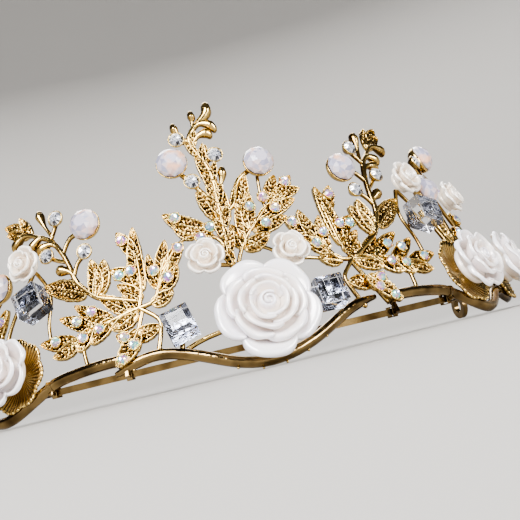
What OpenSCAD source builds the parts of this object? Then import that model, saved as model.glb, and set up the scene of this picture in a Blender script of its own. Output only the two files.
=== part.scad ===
// Flower crown of gilt castings: a sprung headband, a wavy rail, leafy sprays, resin roses and cut stones.
// The ornament is laid out on a flat strip and wrapped on a hoop that leans inwards.
// A place on the strip is [along, up, out]: along the hoop from the middle of the front, up the lean
// from the headband, and out from the strip's back face, all in millimetres.

/* [Hoop] */
// Radius of the hoop at the headband
hoop_r = 68; // [64:0.5:74]
// Lean of the ornament towards the head, in degrees
lean = 22; // [14:1:26]
// Height of the headband strip
band_h = 1.4; // [1:0.1:1.6]
// Thickness of the headband strip
band_t = 1.2; // [0.8:0.1:1.4]
// Half of the angle that the headband covers
band_half_angle = 102; // [96:1:112]
// Outer diameter of the loop at each end of the headband
loop_d = 6; // [5.4:0.1:6.2]
// Diameter of the hole in each end loop
loop_hole_d = 3; // [2.6:0.1:3.2]

/* [Gilt castings] */
// Height of the wavy rail
rail_h = 2.3; // [1.8:0.1:2.6]
// How far the wavy rail stands out
rail_out = 1.7; // [1.2:0.1:2]
// Height of a leaf's midrib above the strip's back face
leaf_out = 1.1; // [0.9:0.05:1.2]
// Radius of a plain stem
stem_r = 0.6; // [0.5:0.05:0.7]

/* [Roses] */
// Diameter of the large rose
big_rose_d = 21.4; // [19:0.2:22]
// Diameter of a medium rose
medium_rose_d = 14.6; // [13:0.2:15]
// Diameter of a small rose
small_rose_d = 8; // [7:0.2:8.4]

/* [Stones] */
// Side of a glass cube
cube_side = 6; // [5.4:0.1:6.2]
// Diameter of an opal stone
opal_d = 6.6; // [6:0.1:6.8]
// Diameter of a clear round stone
clear_d = 3.1; // [2.8:0.1:3.2]
// Diameter of a small iridescent stone
small_d = 2.2; // [1.8:0.1:2.3]
// Clearance between a stone or rose and the metal behind it
seat_gap = 0.12; // [0.1:0.01:0.2]

/* [Hidden] */

SIDES = [1, -1];

// Wave of the rail below the front rose, and of the bars that follow it: along, up
FRONT_WAVE = [[-32, 0.6], [-27, 2.1], [-22, 2.9], [-14, 0.4], [-6, -3.8], [2, -4.2],
              [10, -1.6], [17, 2.1], [22, 3.7], [26, 4.1]];
SIDE_WAVE = [[28, 2.9], [33, 3.6], [44, 2.4], [47, 1.4], [53, -1.8], [58.5, -4.4],
             [64, -3.4], [69, -0.4], [74, -2.6], [79, -3.4], [84, -1.4], [89, 1.0], [95, 0.6]];
FRONT_STEPS = 2;
// Size of the front bar's ends over the rest of it: they taper to meet the side bars
front_bar_end = 0.55;
rail_low = min([for (p = concat(smooth(FRONT_WAVE, FRONT_STEPS), SIDE_WAVE)) p[1]]);

// Headband height that puts the rail's low points on the floor
band_z = -(rail_low - rail_h / 2) * cos(lean);
// Half of the object's depth, from the front of the hoop to the middle of its outline
depth_mid = 38.1;

function to_degrees(along) = along / hoop_r * 180 / PI;
function wrap(p) =
    let (a = to_degrees(p[0]), rho = hoop_r - p[1] * sin(lean) + p[2] * cos(lean))
    [rho * sin(a), hoop_r - rho * cos(a) - depth_mid, band_z + p[1] * cos(lean) + p[2] * sin(lean)];

// Puts its children at a place on the strip, their +Z outwards and their +Y up the lean
module on_strip(along, up, out) {
    translate(wrap([along, up, out]))
        rotate([90 - lean, 0, to_degrees(along)])
            children();
}

// Smooth curve through the points of a table, with a few steps between neighbours
function blend(a, b, c, d, t) =
    0.5 * (2 * b + (c - a) * t + (2 * a - 5 * b + 4 * c - d) * t * t + (3 * b - 3 * c + d - a) * t * t * t);
function smooth(table, steps) =
    let (last = len(table) - 1)
    concat([for (i = [0 : last - 1], k = [0 : steps - 1])
                blend(table[max(i - 1, 0)], table[i], table[i + 1], table[min(i + 2, last)], k / steps)],
           [table[last]]);

// Direction of a path on the strip at one of its points
function along_path(path, i) =
    let (d = path[min(i + 1, len(path) - 1)] - path[max(i - 1, 0)], flat = [d[0], d[1]])
    flat / max(norm(flat), 0.001);

// Solid swept along a path. A row of the path is along, up, out and size; a row of the section is
// sideways and out, both times the size
module sweep(path, section) {
    sides = len(section);
    last = len(path) - 1;
    points = [for (i = [0 : last], s = section)
        let (d = along_path(path, i), p = path[i])
        wrap([p[0] - d[1] * s[0] * p[3], p[1] + d[0] * s[0] * p[3], p[2] + s[1] * p[3]])];
    walls = [for (i = [0 : last - 1], k = [0 : sides - 1])
        let (a = i * sides + k, b = i * sides + (k + 1) % sides) [a, b, b + sides, a + sides]];
    polyhedron(points, concat(walls,
        [[for (k = [sides - 1 : -1 : 0]) k], [for (k = [0 : sides - 1]) last * sides + k]]));
}

// Outlines of swept sections, drawn so that their faces point outwards
function ring_section(sides) = [for (k = [0 : sides - 1]) [cos(-360 * k / sides), sin(-360 * k / sides)]];
RAIL_SECTION = [[-0.5, 0], [-0.42, 0.62], [-0.17, 1], [0.17, 1], [0.42, 0.62], [0.5, 0]];

// Rail bar with a half-round front and a flat back, its ends as thick as the given share
module rail_bar(wave, steps, end_size) {
    curve = smooth(wave, steps);
    last = len(curve) - 1;
    path = [for (i = [0 : last]) [curve[i][0], curve[i][1], 0, i == 0 || i == last ? end_size : 1]];
    sweep(path, [for (s = RAIL_SECTION) [s[0] * rail_h, s[1] * rail_out]]);
}

// Stem through a table of along, up, out and radius over that of a plain stem
module stem(table) {
    sweep(table, stem_r * ring_section(4));
}

/* Leaves. A row of a leaf table is the leaf's root (along, up), its tip (along, up) and its width. */
// Places of the leaf's corners: share of its length, and distance from its middle over its width
LEAF_SHAPE = [[0.05, 0.24], [0.48, 0.57]];
// Ends of its midrib, as shares of its length
LEAF_RIDGE = [0.2, 0.7];
// Height of its edge above the strip's back face
leaf_edge_out = 0.2;

module leaf(row, out = 0) {
    root = [row[0], row[1]];
    reach = [row[2], row[3]] - root;
    side = [-reach[1], reach[0]] / norm(reach) * row[4];
    edge = [for (s = SIDES, q = LEAF_SHAPE) let (p = root + reach * q[0] + side * q[1] * s)
        wrap([p[0], p[1], out + leaf_edge_out])];
    ridge = [for (t = LEAF_RIDGE) let (p = root + reach * t) wrap([p[0], p[1], out + leaf_out])];
    tip = wrap([row[2], row[3], out + leaf_edge_out]);
    points = concat(edge, ridge, [tip]);
    hull() polyhedron(points, [for (i = [1 : len(points) - 2]) [0, i, i + 1]]);
}

// Mirrors a table to the other side of the front, side = -1, and sways it about a foot
function sway(p, foot, angle) =
    foot + [(p[0] - foot[0]) * cos(angle) - (p[1] - foot[1]) * sin(angle),
            (p[0] - foot[0]) * sin(angle) + (p[1] - foot[1]) * cos(angle)];
function placed(p, side, foot, angle) = let (q = sway(p, foot, angle)) [side * q[0], q[1]];
function placed_leaf(row, side, foot, angle) =
    concat(placed([row[0], row[1]], side, foot, angle), placed([row[2], row[3]], side, foot, angle), [row[4]]);
function placed_path(path, side, foot, angle) =
    [for (p = path) concat(placed([p[0], p[1]], side, foot, angle), [p[2], p[3]])];

/* Branch spray: four leafy lobes on one hub, mirrored left and right of the large rose. */
BRANCH_LEAVES = [
    // root along, root up, tip along, tip up, width
    [24.1, 17.0, 23.9, 31.4, 3.2],
    [24.1, 25.0, 28.2, 31.0, 2.6],
    [24.4, 19.2, 30.8, 23.0, 2.6],
    [24.0, 15.4, 29.4, 19.4, 2.4],
    [19.4, 17.8, 16.6, 26.8, 2.6],
    [18.7, 18.6, 12.6, 25.6, 2.6],
    [20.2, 16.6, 21.2, 24.6, 2.4],
    [19.8, 16.0, 14.8, 20.6, 2.4],
    [22.2, 13.6, 16.9, 15.4, 2.4],
    [27.0, 13.0, 34.0, 18.0, 2.6],
    [25.5, 12.6, 28.3, 17.2, 2.4],
    [31.4, 12.6, 40.2, 17.2, 2.6],
    [36.2, 11.6, 44.2, 15.2, 2.4],
    [40.4, 10.0, 49.4, 10.6, 2.6],
    [39.6, 9.8, 46.0, 7.0, 2.6],
    [36.6, 11.6, 39.8, 7.0, 2.4],
    [31.6, 12.4, 36.8, 8.0, 2.6],
    [25.6, 13.0, 31.8, 10.0, 2.8],
    [27.4, 7.2, 21.0, 8.4, 2.8],
    [26.0, 6.0, 30.8, 8.6, 2.6]
];
// Leaf that lies over the rail, at this height above the strip's back face
RAIL_LEAF = [25.6, 8.4, 30.8, 1.2, 3.2];
rail_leaf_out = 1.2;
// Height above it of the leaves of the curled sprays and the crest
curl_leaf_out = 0.3;
BRANCH_STEMS = [
    // along, up, out, radius over a plain stem's
    [[22.6, 2.6, 0.5, 1.15], [21.2, 7.6, 0.6, 1.0], [21.4, 10.4, 0.6, 1.0], [25.2, 13.6, 0.6, 1.15]],
    [[25.2, 13.6, 0.6, 1.15], [24.0, 18.4, 0.6, 1.0]],
    [[25.2, 13.6, 0.6, 1.15], [21.6, 14.4, 0.6, 1.0], [19.4, 18.6, 0.6, 0.9]],
    [[25.2, 13.6, 0.6, 1.15], [32.4, 12.2, 0.6, 1.0], [41.0, 10.0, 0.6, 0.85]],
    [[38.4, 11.0, 0.5, 0.85], [38.8, 7.4, 0.5, 0.9], [37.8, 3.0, 0.6, 1.0]],
    [[26.6, 7.2, 0.5, 1.0], [28.0, 2.4, 0.5, 1.0]]
];
BRANCH_STONES = [
    // along, up, and the height of the leaf below the stone where it isn't 0
    [27.0, 29.0], [28.6, 21.4], [25.8, 21.8],
    [14.0, 24.3], [17.6, 18.4], [20.5, 20.6],
    [36.0, 15.0], [39.7, 13.6], [34.4, 10.9], [38.4, 9.8], [45.2, 10.4],
    [28.8, 7.5, 0.7], [26.8, 5.2, rail_leaf_out], [29.4, 2.6, rail_leaf_out]
];

/* Curled spray: a stem with budded tips that carries an opal and three clear stones. */
CURL_FOOT = [35, 19];
// The left spray sways outwards by this angle
curl_sway_left = -8.5;
CURL_LEAVES = [
    [37.0, 19.6, 47.6, 24.8, 3.6],
    [35.0, 18.2, 34.0, 26.4, 3.2],
    [34.6, 18.0, 30.8, 25.2, 3.2],
    [51.0, 38.6, 59.4, 43.0, 2.6],
    [50.4, 38.2, 53.6, 43.4, 2.2],
    [51.0, 38.8, 58.6, 41.0, 2.4]
];
CURL_STEMS = [
    [[26.2, 13.8, 0.6, 1.0], [30.6, 16.0, 0.6, 1.0], [34.6, 18.0, 0.6, 1.15], [37.2, 20.8, 0.6, 1.15],
     [39.2, 23.6, 0.7, 1.15], [40.1, 27.2, 0.8, 1.1], [41.6, 31.0, 0.9, 1.1], [44.4, 34.9, 0.9, 1.1],
     [48.0, 37.0, 0.9, 1.0], [52.4, 39.4, 0.8, 0.85]],
    [[41.4, 30.6, 0.8, 0.85], [38.8, 33.4, 0.8, 0.9], [34.4, 33.8, 0.9, 1.0]],
    [[39.4, 24.6, 0.8, 0.85], [37.8, 27.2, 0.8, 0.85], [35.2, 28.6, 0.8, 1.0]],
    [[44.4, 34.9, 0.9, 0.85], [43.0, 37.0, 0.8, 0.85], [41.9, 38.8, 0.8, 1.0]],
    [[40.6, 28.6, 0.8, 0.85], [42.8, 29.6, 0.8, 0.85], [45.2, 31.2, 0.8, 1.0]],
    [[41.8, 31.6, 0.9, 0.85], [44.0, 33.8, 1.2, 0.9], [46.8, 33.8, 1.3, 1.7], [47.8, 33.2, 1.2, 0.9]],
    [[43.6, 34.4, 0.9, 0.85], [46.8, 36.4, 1.2, 1.0], [49.4, 35.4, 1.3, 1.7], [50.2, 34.6, 1.2, 0.9]],
    [[48.0, 37.0, 0.9, 0.85], [52.0, 38.8, 1.2, 1.0], [55.2, 37.6, 1.3, 1.7], [56.0, 36.9, 1.2, 0.9]],
    [[38.6, 22.8, 0.8, 0.85], [39.8, 25.6, 1.0, 0.85], [42.0, 26.9, 1.1, 1.8], [42.9, 27.0, 1.1, 1.2]],
    [[43.8, 35.6, 0.9, 0.85], [45.6, 38.6, 1.0, 0.85], [46.8, 41.2, 1.0, 1.5], [47.1, 42.2, 1.0, 1.0]]
];
CURL_OPAL = [33.2, 33.9];
CURL_CLEAR = [[35.1, 28.6], [41.6, 38.9], [45.5, 31.4]];

/* Crest spray: the tallest stem, above the large rose. */
CREST_LEAVES = [
    [-2.1, 28.4, -6.6, 35.6, 3.6],
    [-1.8, 31.4, -3.2, 37.4, 2.6],
    [-2.2, 42.0, -0.6, 46.0, 1.8],
    [1.6, 30.4, 6.8, 37.6, 3.2],
    [-1.8, 27.0, -0.6, 36.6, 3.4],
    [-1.4, 35.6, -4.0, 45.0, 2.8]
];
CREST_STEMS = [
    [[-1.2, -3.6, 0.6, 1.35], [-2.8, 16.0, 0.6, 1.35], [-2.0, 30.4, 0.8, 1.5], [-1.4, 39.9, 0.9, 1.5],
     [-4.4, 46.6, 0.9, 1.5], [-3.9, 49.2, 0.9, 1.4], [-1.4, 51.2, 0.9, 1.3], [1.6, 52.8, 0.9, 1.8],
     [2.9, 54.2, 0.9, 2.1], [3.0, 55.2, 0.9, 1.5]],
    [[-2.6, 50.2, 0.8, 0.85], [-2.2, 52.2, 0.8, 0.85], [-1.9, 53.6, 0.8, 1.6], [-1.9, 54.5, 0.8, 1.0]],
    [[-3.4, 49.8, 0.9, 1.0], [-0.6, 51.2, 1.3, 1.0], [2.2, 50.4, 1.5, 1.6], [3.6, 48.9, 1.4, 0.9]],
    [[-4.2, 46.4, 0.9, 1.0], [-2.0, 48.3, 1.3, 1.0], [0.4, 48.7, 1.4, 1.6], [1.8, 47.8, 1.3, 0.9]],
    [[-4.4, 47.6, 0.9, 0.85], [-6.8, 49.4, 0.9, 0.9], [-7.7, 51.2, 0.9, 1.6], [-7.9, 52.2, 0.9, 1.0]],
    [[-1.6, 34.6, 0.9, 1.0], [0.4, 36.6, 1.0, 0.85], [1.4, 38.6, 1.0, 1.5], [1.6, 39.8, 1.0, 0.9]],
    [[-2.0, 32.4, 0.8, 1.0], [-4.6, 35.0, 0.8, 1.0], [-6.8, 38.0, 0.8, 1.15], [-10.6, 42.4, 0.9, 1.0]],
    [[-4.2, 47.2, 0.8, 0.85], [-8.0, 48.6, 0.8, 1.0]],
    [[-2.4, 42.0, 0.8, 0.85], [1.0, 43.1, 0.8, 1.0]],
    [[-2.0, 29.6, 0.8, 1.0], [1.6, 31.2, 0.8, 1.0], [4.8, 36.4, 0.9, 1.0], [10.6, 38.8, 0.9, 1.0]]
];
CREST_OPAL = [-10.8, 42.8];
CREST_CLEAR = [[-6.8, 38.1], [-8.0, 48.5], [1.0, 43.1]];

/* Front sprays: a leafy stem right of the crest and a short one left of it. */
FRONT_LEAVES = [
    [2.0, 23.4, 2.2, 30.4, 2.8],
    [0.7, 21.2, -0.8, 26.8, 2.6],
    [0.8, 21.0, 7.8, 23.0, 2.8],
    [3.6, 25.0, 6.2, 33.6, 2.8],
    [4.2, 24.8, 13.4, 25.8, 2.8],
    [6.6, 26.8, 17.2, 29.4, 2.8],
    [10.8, 30.2, 14.6, 35.8, 2.6],
    [11.8, 30.8, 19.8, 31.6, 2.4],
    [11.8, 30.6, 18.8, 35.0, 2.4],
    [-6.4, 27.2, -16.2, 32.4, 3.2],
    [-8.6, 26.4, -14.2, 29.2, 2.6],
    [-5.2, 25.0, -9.6, 27.4, 2.2]
];
FRONT_STEMS = [
    [[-1.8, 17.0, 0.6, 1.15], [-0.6, 19.6, 0.6, 1.0], [2.0, 23.4, 0.6, 1.0], [4.9, 25.8, 0.6, 1.0],
     [9.6, 29.4, 0.6, 0.85], [12.4, 31.0, 0.6, 0.75]],
    [[9.4, 29.2, 0.7, 0.85], [9.3, 32.0, 0.7, 0.85], [10.8, 38.4, 0.8, 1.0]],
    [[2.4, 22.0, 0.5, 0.85], [6.6, 19.8, 0.5, 0.85], [9.6, 17.2, 0.6, 1.0], [16.8, 15.4, 0.5, 0.85],
     [22.0, 13.4, 0.6, 1.0]],
    [[-2.4, 21.0, 0.6, 1.15], [-4.6, 24.8, 0.6, 1.0], [-8.6, 26.2, 0.6, 1.0], [-12.0, 26.2, 0.6, 0.85],
     [-14.6, 24.6, 0.6, 0.85], [-18.4, 20.6, 0.6, 0.85]],
    [[-2.6, 18.0, 0.6, 1.0], [-8.6, 19.4, 0.6, 1.0]],
    [[-17.8, 1.0, 0.5, 1.15], [-17.0, 5.6, 0.5, 1.15]],
    [[-18.4, 1.6, 0.2, 1.15], [-12.0, 3.8, 0.4, 1.15], [0.0, 5.2, 0.5, 1.15], [12.0, 5.2, 0.4, 1.15],
     [20.0, 3.6, 0.2, 1.15]]
];
FRONT_STONES = [
    // along, up, and the height of the leaf below the stone where it isn't 0
    [-13.2, 31.0], [-5.4, 27.2], [-8.3, 25.4, 0.1], [9.3, 31.2, 0.15], [5.3, 29.8], [11.4, 28.3],
    [7.8, 25.4], [16.6, 33.8]
];
FRONT_OPAL = [11.2, 38.9];

/* Outer spray: beyond the medium rose, on both sides, as far as the plain end of the headband. */
OUTER_LEAVES = [
    [65.2, 11.6, 60.4, 20.6, 3.0],
    [66.0, 11.6, 72.6, 16.2, 2.8],
    [71.0, 10.6, 79.0, 14.0, 2.8],
    [76.0, 12.6, 80.6, 20.4, 2.8],
    [79.6, 13.2, 87.4, 19.2, 2.8],
    [83.0, 14.4, 91.2, 13.0, 2.8],
    [84.0, 8.8, 92.0, 6.4, 2.8],
    [80.0, 30.2, 88.0, 26.2, 3.0],
    [86.4, 30.4, 94.0, 34.6, 2.6]
];
OUTER_STEMS = [
    [[61.0, 4.0, 0.5, 1.15], [64.4, 9.6, 0.6, 1.15], [66.4, 15.0, 0.7, 1.15], [68.0, 20.0, 0.8, 1.1],
     [72.0, 26.0, 0.9, 1.0], [77.6, 29.8, 0.9, 1.0], [83.6, 30.4, 0.9, 1.0], [88.4, 31.4, 0.8, 0.85]],
    [[66.2, 14.4, 0.6, 0.85], [72.0, 11.2, 0.6, 1.0], [77.6, 12.6, 0.6, 1.0], [84.0, 14.6, 0.6, 0.85]],
    [[77.6, 12.6, 0.6, 0.85], [84.0, 9.8, 0.6, 1.0], [88.2, 6.0, 0.6, 1.0], [89.6, 1.2, 0.6, 1.0]],
    [[67.2, 18.0, 0.8, 0.85], [64.0, 22.0, 0.8, 0.85], [61.8, 24.8, 0.8, 1.0]],
    [[69.0, 22.0, 0.8, 0.85], [68.2, 25.0, 0.8, 0.85], [68.0, 28.2, 0.8, 1.0]],
    [[80.6, 30.6, 0.8, 0.85], [83.0, 33.8, 0.8, 1.0]],
    [[78.0, 30.0, 0.8, 0.85], [76.4, 33.6, 0.8, 1.0]],
    [[86.0, 31.0, 0.9, 0.85], [90.4, 31.4, 1.2, 1.0], [93.2, 29.8, 1.3, 1.7], [93.8, 28.8, 1.2, 0.9]],
    [[72.6, 26.4, 0.8, 1.0], [74.2, 22.2, 0.7, 1.0], [76.0, 17.0, 0.6, 0.85], [77.2, 12.6, 0.6, 0.85]],
    [[46.8, 10.2, 0.6, 0.85], [47.6, 15.0, 0.6, 0.85], [47.2, 21.8, 0.6, 0.85], [51.8, 27.4, 0.6, 1.0]],
    [[47.4, 18.4, 0.6, 1.0], [50.0, 18.8, 0.6, 1.15]],
    [[58.0, 8.0, 0.6, 1.0], [60.0, 12.6, 0.6, 1.0], [58.4, 18.0, 0.6, 0.85], [52.6, 27.2, 0.6, 1.0]]
];
OUTER_STONES = [[61.8, 18.0], [70.4, 14.8], [76.8, 13.2, 0.1], [79.4, 18.2], [85.4, 18.0],
                [88.6, 13.4], [89.4, 7.2], [86.4, 26.4], [91.6, 33.2]];
OUTER_OPALS = [[61.6, 25.0], [83.4, 34.4]];
OUTER_CLEAR = [[68.0, 28.6], [76.2, 34.0]];

/* Places of the roses and cubes: along, up, and the turn about their own axis. */
BIG_ROSE = [0.4, 4.9, 40];
SMALL_ROSES = [[-8.6, 19.6, 0], [9.8, 17.1, 50], [52.3, 28.2, 15],
               [-52.3, 28.2, 80], [74.2, 22.4, 40], [-74.2, 22.4, 10]];
MEDIUM_ROSES = [[55.6, 4.8, 10], [-55.6, 4.8, 40], [77.2, 3.6, 60], [-77.2, 3.6, 48]];
CUBES = [[-16.7, 6.3, 15], [14.0, 5.6, 0], [-49.4, 19.0, 24], [49.8, 18.9, -20]];

function mirrored(table) = [for (p = table) [-p[0], p[1], p[2]]];
OPALS = concat([placed(CURL_OPAL, -1, CURL_FOOT, curl_sway_left), CREST_OPAL, FRONT_OPAL, CURL_OPAL],
               OUTER_OPALS, mirrored(OUTER_OPALS));
CLEAR_STONES = concat([for (p = CURL_CLEAR) placed(p, -1, CURL_FOOT, curl_sway_left)], CREST_CLEAR,
                      CURL_CLEAR, OUTER_CLEAR, mirrored(OUTER_CLEAR));

// Heights above the strip's back face of the feet and the fronts of the settings
cup_foot_out = 0.2;
cup_out = 2.1;
bezel_foot_out = 0.3;
bezel_out = 1.5;
cube_pad_out = 1.6;
small_rose_pad_out = 1.4;
rose_dish_out = 2.2;
sepal_dish_out = 2.4;
// Thickness of the thin plates that hulls are made of
thin = 0.01;

/* Headband: a plain sprung strip with an eyelet on each end. It is worn against the head. */
// Gap between the strip's back face and the headband
band_clear = 0.8;
band_out_r = hoop_r - band_clear;
loop_mid_z = loop_d / 2;

// Disc that stands on the floor at one end of the headband, in thicknesses of the headband
module end_disc(side, d, thick_share) {
    rotate([0, 0, side * band_half_angle])
        translate([0, -band_out_r + (1 + thick_share) / 2 * band_t, loop_mid_z])
            rotate([90, 0, 0])
                cylinder(d = d, h = thick_share * band_t, $fn = 48);
}

module headband() {
    color("gold")
    translate([0, hoop_r - depth_mid, 0])
    difference() {
        union() {
            translate([0, 0, band_z - band_h / 2])
                rotate([0, 0, -90 - band_half_angle])
                    rotate_extrude(angle = 2 * band_half_angle, $fn = 180)
                        translate([band_out_r - band_t, 0])
                            square([band_t, band_h]);
            for (s = SIDES)
                end_disc(s, loop_d, 1);
        }
        for (s = SIDES)
            end_disc(s, loop_hole_d, 3);
    }
}

/* Gilt frame: rail, sprays and settings, soldered into one casting. */

// Tapered cup behind a stone or a rose. Its foot and its front are shares of that one's diameter
module setting_cup(d, foot_share, front_share, high, sides) {
    cylinder(d1 = d * foot_share, d2 = d * front_share, h = high, $fn = sides);
}

// Square pad behind a glass cube
module cube_pad() {
    front = cube_side * 0.8;
    foot = front / 2;
    edge = 0.5;
    hull() {
        translate([-front / 2, -front / 2, cube_pad_out - edge])
            cube([front, front, edge]);
        translate([-foot / 2, -foot / 2, 0])
            cube([foot, foot, thin]);
    }
}

// Scalloped sepal dish behind a medium rose
module sepal_dish() {
    sepals = 8;
    tip_r = medium_rose_d * 0.55;
    dip_r = medium_rose_d * 0.49;
    linear_extrude(height = sepal_dish_out)
        polygon([for (k = [0 : 2 * sepals - 1])
            (k % 2 == 0 ? tip_r : dip_r) * [cos(180 * k / sepals), sin(180 * k / sepals)]]);
}

// Turns its children about the hoop's axis, at the headband's height
module at_band(along) {
    translate([0, hoop_r - depth_mid, band_z])
        rotate([0, 0, to_degrees(along)])
            children();
}

// Places of the wraps: along, and the height of the rail there
WRAPS = [[29.5, 2.9], [47, 1.4], [94, 0.6]];

// Wrap that ties the rail to the headband, with a slot that the headband passes through
module wrap_band(along, up) {
    length = 2.2;
    wall = 0.5;
    // room round the headband in the slot, and reach of the tie behind the strip's back face
    slot = 0.15;
    tie_back = 0.5;
    slot_size = [2 * length, band_t + 2 * slot, band_h + 2 * slot];
    middle = [0, -band_out_r + band_t / 2, 0];
    difference() {
        union() {
            at_band(along)
                translate(middle)
                    cube([length, slot_size[1] + 2 * wall, slot_size[2] + 2 * wall], center = true);
            on_strip(along, 0, -tie_back)
                translate([-length / 2, -band_h / 2, 0])
                    cube([length, up + (band_h + rail_h) / 2 + wall, rail_out + wall + tie_back]);
        }
        at_band(along)
            translate(middle)
                cube(slot_size, center = true);
    }
}

module branch_spray(side) {
    for (row = BRANCH_LEAVES)
        leaf(placed_leaf(row, side, [0, 0], 0));
    leaf(placed_leaf(RAIL_LEAF, side, [0, 0], 0), rail_leaf_out);
    for (path = BRANCH_STEMS)
        stem(placed_path(path, side, [0, 0], 0));
}

module curl_spray(side) {
    angle = side < 0 ? curl_sway_left : 0;
    for (row = CURL_LEAVES)
        leaf(placed_leaf(row, side, CURL_FOOT, angle), curl_leaf_out);
    for (path = CURL_STEMS)
        stem(placed_path(path, side, CURL_FOOT, angle));
}

module crest_spray() {
    for (row = CREST_LEAVES)
        leaf(row, curl_leaf_out);
    for (path = CREST_STEMS)
        stem(path);
}

module front_spray() {
    for (row = FRONT_LEAVES)
        leaf(row);
    for (path = FRONT_STEMS)
        stem(path);
}

module outer_spray(side) {
    for (row = OUTER_LEAVES)
        leaf(placed_leaf(row, side, [0, 0], 0));
    for (path = OUTER_STEMS)
        stem(placed_path(path, side, [0, 0], 0));
}

module settings() {
    for (p = OPALS)
        on_strip(p[0], p[1], cup_foot_out)
            setting_cup(opal_d, 0.45, 1, cup_out - cup_foot_out, 8);
    for (p = CLEAR_STONES)
        on_strip(p[0], p[1], bezel_foot_out)
            setting_cup(clear_d, 0.6, 1.13, bezel_out - bezel_foot_out, 6);
    for (p = CUBES)
        on_strip(p[0], p[1], 0)
            rotate([0, 0, p[2]])
                cube_pad();
    for (p = MEDIUM_ROSES)
        on_strip(p[0], p[1], 0)
            sepal_dish();
    // The dish of the large rose is hidden by it
    on_strip(BIG_ROSE[0], BIG_ROSE[1], 0)
        setting_cup(big_rose_d, 0.3, 0.62, rose_dish_out, 8);
}

module gilt_frame() {
    color("gold") {
        rail_bar(FRONT_WAVE, FRONT_STEPS, front_bar_end);
        crest_spray();
        front_spray();
        settings();
        for (side = SIDES) {
            rail_bar([for (p = SIDE_WAVE) [side * p[0], p[1]]], 1, 1);
            branch_spray(side);
            curl_spray(side);
            outer_spray(side);
            for (w = WRAPS)
                wrap_band(side * w[0], w[1]);
        }
    }
}

/* Roses: rings of cupped petals round a bud. A ring's row is the number of petals, the radius of
   their rims, the height of their rims, their half width in degrees and the turn of the ring. */
// Corners of a petal's rim and of the back of that rim: angle over its half width, and radius over its rim's
PETAL_RIM = [[-1, 0.82], [-0.4, 1], [0.4, 1], [1, 0.82]];
PETAL_BACK = [[0.7, 0.84], [-0.7, 0.84]];
// Radius of a petal's root over the rose's diameter, height of that root over its rim's,
// and thickness over the rose's depth
petal_root = 0.08;
petal_root_up = 0.35;
petal_thick = 0.16;

// Corner of a petal: its angle, its radius and its height
function petal_corner(angle, r, z) = [r * cos(angle), r * sin(angle), z];

module petal(root_r, rim_r, rim_z, half, thick) {
    points = concat(
        [for (q = PETAL_RIM) petal_corner(q[0] * half, q[1] * rim_r, rim_z)],
        [for (q = PETAL_BACK) petal_corner(q[0] * half, q[1] * rim_r, rim_z - thick)],
        [for (s = SIDES) petal_corner(s * half, root_r, rim_z * petal_root_up)]);
    hull() polyhedron(points, [for (i = [1 : len(points) - 2]) [0, i, i + 1]]);
}

module rose(d, deep, rings) {
    // core that closes the back of the rose
    cylinder(d1 = d * 0.5, d2 = d * 0.62, h = deep * 0.4, $fn = 8);
    for (r = rings, k = [0 : r[0] - 1])
        rotate([0, 0, r[4] + 360 * k / r[0]])
            petal(d * petal_root, d / 2 * r[1], deep * r[2], r[3], deep * petal_thick);
    // bud
    cylinder(d1 = d * 0.34, d2 = d * 0.2, h = deep, $fn = 6);
}

// petals, rim radius, rim height, half width, turn
BIG_RINGS = [[5, 1, 0.5, 34, 0], [5, 0.78, 0.68, 33, 36], [4, 0.56, 0.84, 38, 10], [3, 0.37, 0.95, 50, 40]];
MEDIUM_RINGS = [[5, 1, 0.52, 34, 0], [4, 0.7, 0.8, 40, 30]];
SMALL_RINGS = [[4, 1, 0.56, 42, 0], [2, 0.64, 0.88, 70, 30]];
big_rose_deep = 8;
medium_rose_deep = 6.4;
small_rose_deep = 4.4;

module big_rose() {
    color("ivory")
    on_strip(BIG_ROSE[0], BIG_ROSE[1], rose_dish_out + seat_gap)
        rotate([0, 0, BIG_ROSE[2]])
            rose(big_rose_d, big_rose_deep, BIG_RINGS);
}

module medium_rose(p) {
    color("ivory")
    on_strip(p[0], p[1], sepal_dish_out + seat_gap)
        rotate([0, 0, p[2]])
            rose(medium_rose_d, medium_rose_deep, MEDIUM_RINGS);
}

module small_rose(p) {
    color("linen")
    on_strip(p[0], p[1], small_rose_pad_out + seat_gap)
        rotate([0, 0, p[2]])
            rose(small_rose_d, small_rose_deep, SMALL_RINGS);
}

/* Stones. */

// Flat-backed round cut stone: a crown of facets under a table, which is a share of its diameter
module crown_cut(d, sides, crown, table) {
    cylinder(d1 = d, d2 = d * table, h = crown, $fn = sides);
}

// Rings of an opal's facets: diameter over its own, and height
OPAL_RINGS = [[0.84, 0], [1, 0.7], [0.9, 1.6], [0.68, 2.4], [0.36, 3.0]];

module opal(p) {
    color("lavender")
    on_strip(p[0], p[1], cup_out + seat_gap)
        hull()
            for (ring = OPAL_RINGS)
                translate([0, 0, ring[1]])
                    cylinder(d = opal_d * ring[0], h = thin, $fn = 10);
}

module clear_stone(p) {
    color("white")
    on_strip(p[0], p[1], bezel_out + seat_gap)
        crown_cut(clear_d, 8, 1.0, 0.6);
}

// Square plate with its corners cut, at a height
module square_plate(side, corner, height) {
    half = side / 2;
    reach = half - corner;
    translate([0, 0, height])
        linear_extrude(height = thin)
            polygon([[reach, -half], [half, -reach], [half, reach], [reach, half],
                     [-reach, half], [-half, reach], [-half, -reach], [-reach, -half]]);
}

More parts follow.
